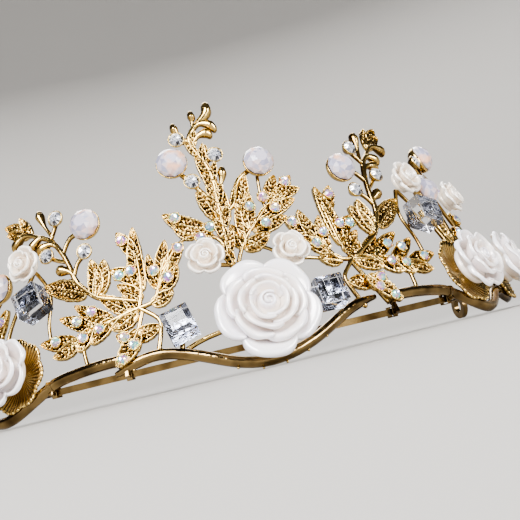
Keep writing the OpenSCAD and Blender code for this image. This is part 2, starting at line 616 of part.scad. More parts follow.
// Cube with its edges cut off, which leaves a square table and a ring of facets
module glass_cube(p) {
    table_side = cube_side * 0.7;
    table_z = cube_side * 0.92;
    crown = 0.85;
    corner = 0.45;
    color("aliceblue")
    on_strip(p[0], p[1], cube_pad_out + seat_gap)
        rotate([0, 0, p[2]])
            hull() {
                square_plate(table_side, corner, 0);
                square_plate(cube_side, corner, corner);
                square_plate(cube_side, corner, table_z - crown);
                square_plate(table_side, corner, table_z);
            }
}

// A row of the table is along, up, and the height of the leaf below the stone where it isn't 0
module small_stones(table) {
    color("plum")
    for (p = table)
        on_strip(p[0], p[1], leaf_out + seat_gap + (is_num(p[2]) ? p[2] : 0))
            crown_cut(small_d, 8, 0.85, 0.55);
}

headband();
gilt_frame();
big_rose();
for (i = [0 : len(MEDIUM_ROSES) - 1])
    medium_rose(MEDIUM_ROSES[i]);
for (i = [0 : len(SMALL_ROSES) - 1])
    small_rose(SMALL_ROSES[i]);
for (i = [0 : len(CUBES) - 1])
    glass_cube(CUBES[i]);
for (i = [0 : len(OPALS) - 1])
    opal(OPALS[i]);
for (i = [0 : len(CLEAR_STONES) - 1])
    clear_stone(CLEAR_STONES[i]);
small_stones(FRONT_STONES);  // small_stones_front
small_stones(mirrored(BRANCH_STONES));  // small_stones_left
small_stones(BRANCH_STONES);  // small_stones_right
small_stones(mirrored(OUTER_STONES));  // small_stones_far_left
small_stones(OUTER_STONES);  // small_stones_far_right
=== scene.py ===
# %% [markdown]
# A flower crown of gilt castings. The real one is a sprung headband with a cast zinc ornament tied to
# its front: a wavy rail, leafy sprays with small iridescent stones, curled stems with clear stones and
# milky opals, glass cubes, and roses of pearly resin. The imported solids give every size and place.
# Here each of them gets the detail and the finish that the eye expects of a piece held in the hand.

# %% Load the fixed frame
import math

import bmesh
import bpy
from mathutils import Matrix, Vector, noise


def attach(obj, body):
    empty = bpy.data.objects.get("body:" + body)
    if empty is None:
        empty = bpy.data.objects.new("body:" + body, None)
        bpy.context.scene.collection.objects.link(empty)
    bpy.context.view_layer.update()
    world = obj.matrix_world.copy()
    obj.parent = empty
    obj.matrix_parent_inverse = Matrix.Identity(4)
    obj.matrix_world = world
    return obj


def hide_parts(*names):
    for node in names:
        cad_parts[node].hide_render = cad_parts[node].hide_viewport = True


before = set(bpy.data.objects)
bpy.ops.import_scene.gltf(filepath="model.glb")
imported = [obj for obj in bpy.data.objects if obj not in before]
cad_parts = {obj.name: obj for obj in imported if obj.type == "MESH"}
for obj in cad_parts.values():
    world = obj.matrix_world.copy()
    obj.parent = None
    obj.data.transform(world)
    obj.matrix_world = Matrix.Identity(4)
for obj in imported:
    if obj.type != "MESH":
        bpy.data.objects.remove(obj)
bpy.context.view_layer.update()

# %% [markdown]
# The ornament is cast flat and then bent round a hoop that leans towards the head. Modelling follows
# the foundry: a piece is shaped on a flat strip, where a place is along, up and out in millimetres, and
# a formula bends the strip. Stones and roses aren't bent, so they get a matrix that seats them.

# %% The strip and the hoop
MM = 0.001
HOOP_R = 68
LEAN = math.radians(22)
DEPTH_MID = 38.1
RAIL_H = 2.3
RAIL_LOWEST = -4.425
BAND_Z = (RAIL_H / 2 - RAIL_LOWEST) * math.cos(LEAN)


def wrap(place):
    """A place on the strip, in millimetres, as a point on the crown, in metres."""
    along, up, out = place
    turn = along / HOOP_R
    reach = HOOP_R - up * math.sin(LEAN) + out * math.cos(LEAN)
    height = BAND_Z + up * math.cos(LEAN) + out * math.sin(LEAN)
    return MM * Vector((reach * math.sin(turn), HOOP_R - DEPTH_MID - reach * math.cos(turn), height))


def seat(along, up, out, turn=0):
    """The matrix that sets a piece, made in millimetres with +Z outwards, on the strip."""
    return (
        Matrix.Translation(wrap((along, up, out)))
        @ Matrix.Rotation(along / HOOP_R, 4, "Z")
        @ Matrix.Rotation(math.pi / 2 - LEAN, 4, "X")
        @ Matrix.Rotation(math.radians(turn), 4, "Z")
        @ Matrix.Scale(MM, 4)
    )


print("headband height in millimetres:", round(BAND_Z, 2))

# %% [markdown]
# The photograph was taken from low down, with the camera turned a little and held close to the table.
# The camera comes first, so that every later step can be looked at through it. A long lens keeps the
# near and far ends of the crown alike in size. The stage is a pale dish: its middle is the floor, and
# its rim rises far away, so that no horizon line cuts the picture.

# %% Camera
CAMERA_PLACE = Vector((-75.8, -417.4, 3.2)) * MM
CAMERA_AIM = Vector((0.4, -45.5, 21.1)) * MM
CAMERA_ROLL = math.radians(13.6)
LENS_MM = 133.5
NEAREST, FURTHEST = 0.01, 20

forward = (CAMERA_AIM - CAMERA_PLACE).normalized()
level = forward.cross(Vector((0, 0, 1))).normalized()
raised = level.cross(forward)
camera_right = level * math.cos(CAMERA_ROLL) - raised * math.sin(CAMERA_ROLL)
camera_up = camera_right.cross(forward)
camera_data = bpy.data.cameras.new("camera")
camera_data.lens = LENS_MM
camera_data.clip_start = NEAREST
camera_data.clip_end = FURTHEST
camera = bpy.data.objects.new("camera", camera_data)
camera_turn = Matrix((camera_right, camera_up, -forward)).transposed().to_4x4()
camera.matrix_world = Matrix.Translation(CAMERA_PLACE) @ camera_turn
bpy.context.scene.collection.objects.link(camera)
bpy.context.scene.camera = camera
print("camera to aim in metres:", round((CAMERA_AIM - CAMERA_PLACE).length, 3))

# %% [markdown]
# Colours are written as the hex codes that an artist reads off a swatch. Blender works with linear
# light, so one function turns a code into linear values. Another adds a node, sets its fields and
# links its sockets, and every material below is built with it. The floor and the turned pieces
# share one more, which spins a profile about an axis.

# %% Colour and node helpers
# A Mix node has a set of sockets for each kind of value, so the ones for colours are known by number.
FACTOR, FIRST_COLOUR, SECOND_COLOUR, MIXED_COLOUR = 0, 6, 7, 2


def colour(code):
    """The linear colour of an sRGB hex code."""
    values = [int(code[i : i + 2], 16) / 255 for i in (0, 2, 4)]
    return [v / 12.92 if v <= 0.04045 else ((v + 0.055) / 1.055) ** 2.4 for v in values] + [1]


def fill(tree, node, inputs):
    """Sets a node's inputs. Each is a value, or another node's output to link."""
    for socket, value in inputs.items():
        if isinstance(value, bpy.types.NodeSocket):
            tree.links.new(value, node.inputs[socket])
        else:
            node.inputs[socket].default_value = value


def add(tree, kind, inputs, output=0, **settings):
    """Adds a node with its settings and links, and gives one of its outputs."""
    made = tree.nodes.new(kind)
    for name, value in settings.items():
        setattr(made, name, value)
    fill(tree, made, inputs)
    return made.outputs[output]


def sized(tree, size_mm):
    """The inputs of a texture that lies on the piece with patches of a size in millimetres."""
    place = add(tree, "ShaderNodeTexCoord", {}, "Object")
    return {"Vector": place, "Scale": 1 / (size_mm * MM)}


def set_stops(ramp, stops):
    """Gives a colour ramp its stops, each a share from 0 to 1 and a hex code."""
    elements = ramp.node.color_ramp.elements
    for k, (share, code) in enumerate(stops):
        element = elements[k] if k < 2 else elements.new(share)
        element.position = share
        element.color = colour(code)


def start_material(name):
    """A new material and its node tree."""
    made = bpy.data.materials.new(name)
    made.use_nodes = True
    return made, made.node_tree


def shade(tree, inputs):
    """Sets the inputs of a material's shader."""
    fill(tree, tree.nodes["Principled BSDF"], inputs)


def spin_round(bm, profile, steps):
    """Turns a profile of radius and height about Z."""
    chain = [bm.verts.new((radius, 0, height)) for radius, height in profile]
    edges = [bm.edges.new(pair) for pair in zip(chain, chain[1:])]
    circle = {"axis": (0, 0, 1), "cent": (0, 0, 0), "dvec": (0, 0, 0), "angle": 2 * math.pi}
    bmesh.ops.spin(bm, geom=chain + edges, steps=steps, use_merge=True, **circle)


# %% Stage and light
# A lamp is its name, its place and width in metres, and its power in watts.
LAMPS = [
    ("key_light", (-0.6, -0.85, 0.9), 0.75, 41),
    ("fill_light", (0.7, -0.9, 0.4), 0.5, 17),
    ("back_light", (0.15, 0.95, 0.75), 0.8, 11),
]
CROWN_MIDDLE = Vector((0, -0.01, 0.03))
for name, place, width, power in LAMPS:
    lamp = bpy.data.lights.new(name, "AREA")
    lamp.size = width
    lamp.energy = power
    softbox = bpy.data.objects.new(name, lamp)
    softbox.location = place
    softbox.rotation_mode = "QUATERNION"
    softbox.rotation_quaternion = (CROWN_MIDDLE - Vector(place)).to_track_quat("-Z", "Y")
    bpy.context.scene.collection.objects.link(softbox)

world = bpy.data.worlds.new("studio")
world.use_nodes = True
studio_walls = {"Color": colour("e6e6ea"), "Strength": 0.12}
fill(world.node_tree, world.node_tree.nodes["Background"], studio_walls)
bpy.context.scene.world = world
bpy.context.scene.view_settings.look = "AgX - Medium High Contrast"

DISH_FLAT, DISH_RIM, DISH_RISE = 0.7, 0.9, 0.62
RIM_STEPS, DISH_SIDES = 12, 96
rim_shares = [step / RIM_STEPS for step in range(1, RIM_STEPS + 1)]
dish_profile = [(0, 0), (DISH_FLAT, 0)]
dish_profile += [(DISH_FLAT + DISH_RIM * share, DISH_RISE * share**2) for share in rim_shares]
dish = bmesh.new()
spin_round(dish, dish_profile, DISH_SIDES)
bmesh.ops.remove_doubles(dish, verts=dish.verts, dist=1e-5)
bmesh.ops.recalc_face_normals(dish, faces=dish.faces)
dish_mesh = bpy.data.meshes.new("stage_floor")
dish.to_mesh(dish_mesh)
dish.free()
dish_mesh.polygons.foreach_set("use_smooth", [True] * len(dish_mesh.polygons))
stage_floor = bpy.data.objects.new("stage_floor", dish_mesh)
bpy.context.scene.collection.objects.link(stage_floor)
paper, tree = start_material("pale_paper")
shade(tree, {"Base Color": colour("a8a5a1"), "Roughness": 0.8})
dish_mesh.materials.append(paper)
print("lamps:", len(LAMPS), "stage ready")

# %% [markdown]
# Gold plating over a zinc casting: the plating shop dips the bright casting in a thin gold bath. High
# places are pale and mirror-like. The recesses get a painted shade, a warm brown that ends in an almost
# black painted shadow in the pits. Each cast mesh carries a number called relief_shade, 0 in a recess
# and 1 on a ridge, and the material mixes its golds with it. Gold is a metal, so the whole colour is in
# its reflections.

# %% Gilt materials
# The golds are the pale gold of a ridge, a painted shade for the recesses, and a painted shadow for the
# pits.
PALE_GOLD, SHADED_GOLD, PIT_SHADOW_GOLD = "d9bb76", "775a30", "120d07"
PATCH_MM = 6
RIDGE_STOP = 0.85


def gilt_material(name, golds, roughness, grain_mm, grain_depth, reads_relief):
    """Gold plating: the golds go from painted shade in the recesses to the ridges, over soft patches and a
    fine grain.
    """
    made, tree = start_material(name)
    patches = add(tree, "ShaderNodeTexNoise", sized(tree, PATCH_MM))
    share = add(tree, "ShaderNodeMapRange", {"Value": patches, "From Min": 0.3, "From Max": 0.6})
    # Cast gilt mixes in the painted shade that its mesh holds in relief_shade.
    if reads_relief:
        relief_shade = add(tree, "ShaderNodeAttribute", {}, "Fac", attribute_name="relief_shade")
        soft = add(tree, "ShaderNodeMath", {0: share, 1: 0.2, 2: -0.1}, operation="MULTIPLY_ADD")
        share = add(tree, "ShaderNodeMath", {0: relief_shade, 1: soft}, operation="ADD")
    ramp = add(tree, "ShaderNodeValToRGB", {"Fac": share})
    set_stops(ramp, [(RIDGE_STOP * k / (len(golds) - 1), code) for k, code in enumerate(golds)])
    grain = add(tree, "ShaderNodeTexNoise", sized(tree, grain_mm))
    dull_and_bright = {"Value": grain, "To Min": roughness * 0.7, "To Max": roughness * 1.5}
    rough = add(tree, "ShaderNodeMapRange", dull_and_bright)
    bump = add(tree, "ShaderNodeBump", {"Height": grain, "Distance": grain_depth * MM, "Strength": 1})
    shade(tree, {"Base Color": ramp, "Roughness": rough, "Normal": bump, "Metallic": 1})
    return made


# After a gilding's golds come its roughness, the size and the depth of its grain in millimetres, and
# whether it reads the relief.
cast_golds = [PIT_SHADOW_GOLD, SHADED_GOLD, PALE_GOLD]
cast_gilt = gilt_material("gold_plated_zinc_casting", cast_golds, 0.15, 0.35, 0.03, True)
polished_gilt = gilt_material("polished_gold_plating", ["463620", "8c7650"], 0.1, 1.6, 0.1, False)
strip_gilt = gilt_material("gold_plated_spring_strip", ["483821", "7f6a46"], 0.18, 0.5, 0.01, False)
print("gilt materials:", cast_gilt.name, polished_gilt.name, strip_gilt.name)

# %% [markdown]
# Three helpers carry the modelling. A grid is laid and its points are moved to where a small formula
# says, which makes a tube when its sides meet and a leaf when they don't. A profile is turned about an
# axis for cups and bezels. And one function closes a finished piece: it makes the object, gives it its
# material and hangs it on the frame.

# %% Mesh helpers
STEM_R = 0.6
SEAM = 0.002
CAP_ANGLES = (25, 50, 72, 88)
BACK_HALF_SHADE = 0.35


def new_points(bm, before):
    """The points that were made since a set of points was noted."""
    return [vert for vert in bm.verts if vert not in before]


def edges_of(verts):
    """The edges that touch some points."""
    return list(dict.fromkeys(edge for vert in verts for edge in vert.link_edges))


def faces_of(verts):
    """The faces that touch some points."""
    return list(dict.fromkeys(face for vert in verts for face in vert.link_faces))


def relief_of(bm):
    """The layer that holds each point's painted shade: 0 darkest, as in a recess, and 1 lightest, as on a
    ridge.
    """
    return bm.verts.layers.float.get("relief_shade") or bm.verts.layers.float.new("relief_shade")


def lay_grid(bm, columns, rows, place):
    """A grid whose points are moved to place(u, v), u and v from 0 to 1. place also gives the point's
    painted shade.
    """
    relief_shade = relief_of(bm)
    made = bmesh.ops.create_grid(bm, x_segments=columns, y_segments=rows, size=0.5)["verts"]
    for vert in made:
        vert.co, vert[relief_shade] = place(vert.co.x + 0.5, vert.co.y + 0.5)
    return made


def close_up(bm, verts):
    """Joins the seam of a rolled grid, closes its open ends and turns its faces outwards."""
    doubles = bmesh.ops.find_doubles(bm, verts=verts, dist=SEAM)["targetmap"]
    kept = [vert for vert in verts if vert not in doubles]
    bmesh.ops.remove_doubles(bm, verts=verts, dist=SEAM)
    bmesh.ops.holes_fill(bm, edges=[edge for edge in edges_of(kept) if edge.is_boundary], sides=0)
    bmesh.ops.recalc_face_normals(bm, faces=faces_of(kept))
    return kept


def turn_profile(bm, profile, segments):
    """Turns a profile of radius and height about Z, closes it, and gives the new points."""
    before = set(bm.verts)
    spin_round(bm, profile, segments)
    return close_up(bm, new_points(bm, before))


def set_down(bm, verts, matrix):
    """Moves points made in millimetres to their seat on the crown."""
    bmesh.ops.transform(bm, matrix=matrix, verts=verts)


def finish_piece(
    bm, name, material=cast_gilt, stands_for=("gilt_frame",),
    bent=False, smooth=True, thick=0, levels=0,
):
    """Makes the object of a piece, bends it round the hoop if asked, and hangs it on the frame."""
    if bent:
        for vert in bm.verts:
            vert.co = wrap(vert.co)
    mesh = bpy.data.meshes.new(name)
    bm.to_mesh(mesh)
    bm.free()
    mesh.polygons.foreach_set("use_smooth", [smooth] * len(mesh.polygons))
    mesh.materials.append(material)
    made = bpy.data.objects.new(name, mesh)
    bpy.context.scene.collection.objects.link(made)
    if thick:
        thickener = made.modifiers.new("thickener", "SOLIDIFY")
        thickener.thickness = thick * MM
        thickener.offset = 0
    if levels:
        rounder = made.modifiers.new("rounder", "SUBSURF")
        rounder.levels = levels
        rounder.render_levels = levels
    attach(made, "root")
    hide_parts(*stands_for)
    print(name, "faces:", len(mesh.polygons))
    return made


def between(p, q, r, s, t):
    """A value on the smooth curve from q to r, which p and s lie before and after."""
    square = (2 * p - 5 * q + 4 * r - s) * t * t
    cube = (3 * q - 3 * r + s - p) * t * t * t
    return 0.5 * (2 * q + (r - p) * t + square + cube)


def through(rows, steps):
    """A smooth curve through the rows of a table, with some steps between neighbours."""
    padded = [rows[0], *rows, rows[-1]]
    curve = []
    for neighbours in zip(padded, padded[1:], padded[2:], padded[3:]):
        for k in range(steps):
            curve.append([between(*values, k / steps) for values in zip(*neighbours)])
    return curve + [list(rows[-1])]


def evened(curve, rounds):
    """The curve with its corners eased, its ends kept."""
    for _ in range(rounds):
        inner = []
        for neighbours in zip(curve, curve[1:], curve[2:]):
            inner.append([(p + 2 * q + r) / 4 for p, q, r in zip(*neighbours)])
        curve = [curve[0]] + inner + [curve[-1]]
    return curve


def sweep(bm, path, section, rounded):
    """Rolls a grid into a bar along a path of along, up, out and size. A section row is side and out."""
    rows = [list(p) for p in path]
    if rounded:
        for end, inner in ((0, 1), (-1, -2)):
            tip, before = rows[end], rows[inner]
            heading = (Vector(tip[:3]) - Vector(before[:3])).normalized()
            cap = []
            for angle in map(math.radians, CAP_ANGLES):
                place = Vector(tip[:3]) + STEM_R * tip[3] * math.sin(angle) * heading
                cap.append([*place, tip[3] * math.cos(angle)])
            rows = cap[::-1] + rows if end == 0 else rows + cap
    last, sides = len(rows) - 1, len(section)

    def place(u, v):
        i, k = round(v * last), round(u * sides) % sides
        before, after = rows[max(i - 1, 0)], rows[min(i + 1, last)]
        run = Vector((after[0] - before[0], after[1] - before[1]))
        run = run.normalized() if run.length > 1e-6 else Vector((1, 0))
        along, up, out, size = rows[i]
        side, lift = section[k][0] * size, section[k][1] * size
        # Painted shade: the half of a bar that faces back towards the strip is painted darker, and its top
        # is painted lightest.
        relief_shade = BACK_HALF_SHADE + (1 - BACK_HALF_SHADE) * max(section[k][1], 0)
        return Vector((along - run.y * side, up + run.x * side, out + lift)), relief_shade

    return close_up(bm, lay_grid(bm, sides, last, place))


def ring(sides):
    """The section of a round bar of radius 1."""
    angles = [2 * math.pi * k / sides for k in range(sides)]
    return [(math.cos(angle), math.sin(angle)) for angle in angles]


print("mesh helpers ready")

# %% [markdown]
# The wavy rail is a half-round bar with a flat back, polished bright after casting. It dips under the
# large rose and again under each pair of roses at the sides. Its waves are the tables of the packed
# part, and a smooth curve runs through them. Tiny beads of plating cling to its lower edge.

# %% Rails
FRONT_WAVE = [
    (-32, 0.6), (-27, 2.1), (-22, 2.9), (-14, 0.4), (-6, -3.8), (2, -4.2), (10, -1.6), (17, 2.1),
    (22, 3.7), (26, 4.1),
]
SIDE_WAVE = [
    (28, 2.9), (33, 3.6), (44, 2.4), (47, 1.4), (53, -1.8), (58.5, -4.4), (64, -3.4), (69, -0.4),
    (74, -2.6), (79, -3.4), (84, -1.4), (89, 1), (95, 0.6),
]
WAVE_STEPS, WAVE_ROUNDS = 6, 14
TAPERED = 0.45
RAIL_OUT = 1.7
arch = [math.radians(degrees) for degrees in range(0, 181, 20)]
RAIL_HALF_ROUND = [(-0.5 * math.cos(angle), 0.25 + 0.75 * math.sin(angle)) for angle in arch]
RAIL_HALF_ROUND = [(-0.5, 0), *RAIL_HALF_ROUND, (0.5, 0)]
SIDES = {"right": 1, "left": -1}


def rail(bm, wave, side, taper):
    """One bar of the rail. Its ends taper over a length, where it meets another bar."""
    rows = through([(side * along, up, 0, 1) for along, up in wave], WAVE_STEPS)
    rows = evened(rows, WAVE_ROUNDS)
    for row in rows:
        to_end = min(abs(row[0] - rows[0][0]), abs(row[0] - rows[-1][0]))
        row[3] = min(1, TAPERED + (1 - TAPERED) * to_end / taper) if taper else 1
    section = [(across * RAIL_H * side, lift * RAIL_OUT) for across, lift in RAIL_HALF_ROUND]
    sweep(bm, rows, section, rounded=False)


rail_mesh = bmesh.new()
rail(rail_mesh, FRONT_WAVE, 1, 5)
for side in SIDES.values():
    rail(rail_mesh, SIDE_WAVE, side, 0)
finish_piece(rail_mesh, "wavy_rail", polished_gilt, bent=True)

# %% [markdown]
# Stems are round rods that fork off each other and end in a bud or a curl. Each table row is a place
# along, up and out, and the radius over that of a plain stem. A grid rolled into a tube follows the
# smooth curve through the rows, and its ends are rounded.

# %% Stem tables
BRANCH_STEMS = [
    [(22.6, 2.6, 0.5, 1.15), (21.2, 7.6, 0.6, 1), (21.4, 10.4, 0.6, 1), (25.2, 13.6, 0.6, 1.15)],
    [(25.2, 13.6, 0.6, 1.15), (24, 18.4, 0.6, 1), (24, 25, 0.7, 0.8)],
    [(25.2, 13.6, 0.6, 1.15), (21.6, 14.4, 0.6, 1), (19.4, 18.6, 0.6, 0.9), (16.6, 22, 0.7, 0.7)],
    [(25.2, 13.6, 0.6, 1.15), (32.4, 12.2, 0.6, 1), (41, 10, 0.6, 0.85)],
    [(38.4, 11, 0.5, 0.85), (38.8, 7.4, 0.5, 0.9), (37.8, 3, 0.6, 1)],
    [(24.6, 12.8, 0.5, 1), (26.6, 7.2, 0.6, 1), (28, 2.4, 0.9, 1)],
]
CURL_FOOT = (35, 19)
CURL_SWAY_LEFT = -8.5
CURL_STEMS = [
    [
        (26.2, 13.8, 0.6, 1), (30.6, 16, 0.6, 1), (34.6, 18, 0.6, 1.15),
        (37.2, 20.8, 0.6, 1.15), (39.2, 23.6, 0.7, 1.15), (40.1, 27.2, 0.8, 1.1),
        (41.6, 31, 0.9, 1.1), (44.4, 34.9, 0.9, 1.1), (48, 37, 0.9, 1), (52.4, 39.4, 0.8, 0.85),
    ],
    [(41.4, 30.6, 0.8, 0.85), (38.8, 33.4, 0.8, 0.9), (34.4, 33.8, 0.9, 1)],
    [(39.4, 24.6, 0.8, 0.85), (37.8, 27.2, 0.8, 0.85), (35.2, 28.6, 0.8, 1)],
    [(44.4, 34.9, 0.9, 0.85), (43, 37, 0.8, 0.85), (41.9, 38.8, 0.8, 1)],
    [(40.6, 28.6, 0.8, 0.85), (42.8, 29.6, 0.8, 0.85), (45.2, 31.2, 0.8, 1)],
    [(41.8, 31.6, 0.9, 0.85), (44, 33.8, 1.2, 0.9), (46.8, 33.8, 1.3, 1.9), (47.6, 33.3, 1.2, 1.7)],
    [(43.6, 34.4, 0.9, 0.85), (46.8, 36.4, 1.2, 1), (49.4, 35.4, 1.3, 1.9), (50, 34.8, 1.2, 1.7)],
    [(48, 37, 0.9, 0.85), (52, 38.8, 1.2, 1), (55.2, 37.6, 1.3, 1.9), (55.8, 37, 1.2, 1.7)],
    [(38.6, 22.8, 0.8, 0.85), (39.8, 25.6, 1, 0.85), (42, 26.9, 1.1, 2.1), (42.6, 27, 1.1, 1.9)],
    [(43.8, 35.6, 0.9, 0.85), (45.6, 38.6, 1, 0.85), (46.8, 41.2, 1, 2), (47, 41.8, 1, 1.8)],
]
CREST_STEMS = [
    [
        (-1.2, -3.6, 0.6, 1.35), (-2.8, 16, 0.6, 1.35), (-2, 30.4, 0.8, 1.4),
        (-1.4, 39.9, 0.9, 1.3), (-4.4, 46.6, 0.9, 1.3), (-3.9, 49.2, 0.9, 1.3), (-1.4, 51.2, 0.9, 1.3),
        (1.6, 52.8, 0.9, 2), (2.9, 54, 0.9, 2.6), (3.1, 54.8, 0.9, 2.4),
    ],
    [(-2.6, 50.2, 0.8, 0.85), (-2.2, 52.2, 0.8, 0.85), (-1.9, 53.2, 0.8, 2), (-1.9, 53.9, 0.8, 1.8)],
    [(-3.4, 49.8, 0.9, 1), (-0.6, 51.2, 1.3, 1), (2.2, 50.4, 1.5, 1.9), (3.2, 49.4, 1.4, 1.7)],
    [(-4.2, 46.4, 0.9, 1), (-2, 48.3, 1.3, 1), (0.4, 48.7, 1.4, 1.9), (1.4, 48.2, 1.3, 1.7)],
    [(-4.4, 47.6, 0.9, 0.85), (-6.8, 49.4, 0.9, 0.9), (-7.7, 51.2, 0.9, 2), (-7.9, 51.8, 0.9, 1.8)],
    [(-1.6, 34.6, 0.9, 1), (0.4, 36.6, 1, 0.85), (1.4, 38.6, 1, 2), (1.6, 39.3, 1, 1.8)],
    [(-2, 32.4, 0.8, 1), (-4.6, 35, 0.8, 1), (-6.8, 38, 0.8, 1.15), (-10.6, 42.4, 0.9, 1)],
    [(-4.2, 47.2, 0.8, 0.85), (-8, 48.6, 0.8, 1)],
    [(-2.4, 42, 0.8, 0.85), (1, 43.1, 0.8, 1)],
    [(-2, 29.6, 0.8, 1), (1.6, 31.2, 0.8, 1), (4.8, 36.4, 0.9, 1), (10.6, 38.8, 0.9, 1)],
]
FRONT_STEMS = [
    [
        (-1.8, 17, 0.6, 1.15), (-0.6, 19.6, 0.6, 1), (2, 23.4, 0.6, 1), (4.9, 25.8, 0.6, 1),
        (9.6, 29.4, 0.6, 0.85), (12.4, 31, 0.6, 0.75),
    ],
    [(9.4, 29.2, 0.7, 0.85), (9.3, 32, 0.7, 0.85), (10.8, 38.4, 0.8, 1)],
    [
        (2.4, 22, 0.5, 0.85), (6.6, 19.8, 0.5, 0.85), (9.6, 17.2, 0.6, 1), (16.8, 15.4, 0.5, 0.85),
        (22, 13.4, 0.6, 1),
    ],
    [
        (-2.4, 21, 0.6, 1.15), (-4.6, 24.8, 0.6, 1), (-8.6, 26.2, 0.6, 1),
        (-12, 26.2, 0.6, 0.85), (-14.6, 24.6, 0.6, 0.85), (-18.4, 20.6, 0.6, 0.85),
    ],
    [(-2.6, 18, 0.6, 1), (-8.6, 19.4, 0.6, 1)],
    [(-17.8, 1, 0.5, 1.15), (-17, 5.6, 0.5, 1.15)],
    [
        (-18.4, 1.6, 0.2, 1.15), (-12, 3.8, 0.4, 1.15), (0, 5.2, 0.5, 1.15), (12, 5.2, 0.4, 1.15),
        (20, 3.6, 0.2, 1.15),
    ],
]
OUTER_STEMS = [
    [
        (61, 4, 0.5, 1.15), (64.4, 9.6, 0.6, 1.15), (66.4, 15, 0.7, 1.15), (68, 20, 0.8, 1.1),
        (72, 26, 0.9, 1), (77.6, 29.8, 0.9, 1), (83.6, 30.4, 0.9, 1), (88.4, 31.4, 0.8, 0.85),
    ],
    [(66.2, 14.4, 0.6, 0.85), (72, 11.2, 0.6, 1), (77.6, 12.6, 0.6, 1), (84, 14.6, 0.6, 0.85)],
    [(77.6, 12.6, 0.6, 0.85), (84, 9.8, 0.6, 1), (88.2, 6, 0.6, 1), (89.6, 1.2, 0.6, 1)],
    [(67.2, 18, 0.8, 0.85), (64, 22, 0.8, 0.85), (61.8, 24.8, 0.8, 1)],
    [(69, 22, 0.8, 0.85), (68.2, 25, 0.8, 0.85), (68, 28.2, 0.8, 1)],
    [(80.6, 30.6, 0.8, 0.85), (83, 33.8, 0.8, 1)],
    [(78, 30, 0.8, 0.85), (76.4, 33.6, 0.8, 1)],
    [(86, 31, 0.9, 0.85), (90.4, 31.4, 1.2, 1), (93.2, 29.8, 1.3, 1.7), (93.7, 29.1, 1.2, 1.35)],
    [(72.6, 26.4, 0.8, 1), (74.2, 22.2, 0.7, 1), (76, 17, 0.6, 0.85), (77.2, 12.6, 0.6, 0.85)],
    [(46.8, 10.2, 0.6, 0.85), (47.6, 15, 0.6, 0.85), (47.2, 21.8, 0.6, 0.85), (51.8, 27.4, 0.6, 1)],
    [(47.4, 18.4, 0.6, 1), (50, 18.8, 0.6, 1.15)],
    [(58, 8, 0.6, 1), (60, 12.6, 0.6, 1), (58.4, 18, 0.6, 0.85), (52.6, 27.2, 0.6, 1)],
]
print("stems:", len(BRANCH_STEMS + CURL_STEMS + CREST_STEMS + FRONT_STEMS + OUTER_STEMS))

# %% Stems
STEM_SECTION = [(across * STEM_R, lift * STEM_R) for across, lift in ring(8)]
STEM_STEPS = 4
LEAFY_DROP, LEAFY_THIN = 0.2, 0.82


def mirrored(row, side):
    """A table row on the other side of the front for a side of -1."""
    return (side * row[0], *row[1:])


def curl_place(row, side):
    """A row of the curled spray, mirrored for a side of -1. The left spray also sways outwards."""
    turn = math.radians(CURL_SWAY_LEFT if side < 0 else 0)
    run, rise = row[0] - CURL_FOOT[0], row[1] - CURL_FOOT[1]
    along = CURL_FOOT[0] + run * math.cos(turn) - rise * math.sin(turn)
    up = CURL_FOOT[1] + run * math.sin(turn) + rise * math.cos(turn)
    return (side * along, up, *row[2:])


def beneath(rows):
    """A stem thinned and lowered, so that it runs below the ribs of its leaves."""
    return [(along, up, out - LEAFY_DROP, LEAFY_THIN * size) for along, up, out, size in rows]


def stems(name, tables):
    """One piece of rods through each of the tables."""
    bm = bmesh.new()
    for rows in tables:
        sweep(bm, through(rows, STEM_STEPS), STEM_SECTION, rounded=True)
    finish_piece(bm, name, bent=True)


stems("crest_stems", CREST_STEMS + [beneath(rows) for rows in FRONT_STEMS])
for word, side in SIDES.items():
    rows_here = [[mirrored(row, side) for row in beneath(rows)] for rows in BRANCH_STEMS + OUTER_STEMS]
    rows_here += [[curl_place(row, side) for row in rows] for rows in CURL_STEMS]
    stems(f"stems_{word}", rows_here)

# %% [markdown]
# Leaves are the finest casting of the crown. A real one has a bright wire-like border, a raised midrib,
# and between them a field of pebbles with dark pits, which looks like filigree. A grid on each leaf
# is lifted by those three forms. The pebbles are the cells of a Voronoi pattern 0.6 mm wide, and
# the same cells give the relief_shade number, which paints shade into the pits and turns them dark,
# while the border, the rib and the pebbles' tops are painted light.

# %% Leaf tables
BRANCH_LEAVES = [
    (24.1, 17, 23.9, 31.4, 3.2), (24.1, 25, 28.2, 31, 2.6), (24.4, 19.2, 30.8, 23, 2.6),
    (24, 15.4, 29.4, 19.4, 2.4), (19.4, 17.8, 16.6, 26.8, 2.6), (18.7, 18.6, 12.6, 25.6, 2.6),
    (20.2, 16.6, 21.2, 24.6, 2.4), (19.8, 16, 14.8, 20.6, 2.4), (22.2, 13.6, 16.9, 15.4, 2.4),
    (27, 13, 34, 18, 2.6), (25.5, 12.6, 28.3, 17.2, 2.4), (31.4, 12.6, 40.2, 17.2, 2.6),
    (36.2, 11.6, 44.2, 15.2, 2.4), (40.4, 10, 49.4, 10.6, 2.6), (39.6, 9.8, 46, 7, 2.6),
    (36.6, 11.6, 39.8, 7, 2.4), (31.6, 12.4, 36.8, 8, 2.6), (25.6, 13, 31.8, 10, 2.8),
    (27.4, 7.2, 21, 8.4, 2.8), (26, 6, 30.8, 8.6, 2.6),
]
RAIL_LEAF = (25.6, 8.4, 30.8, 1.2, 3.2)
RAIL_LEAF_OUT, CURL_OUT, STALK_LEAF_OUT = 1.2, 0.3, 0.95
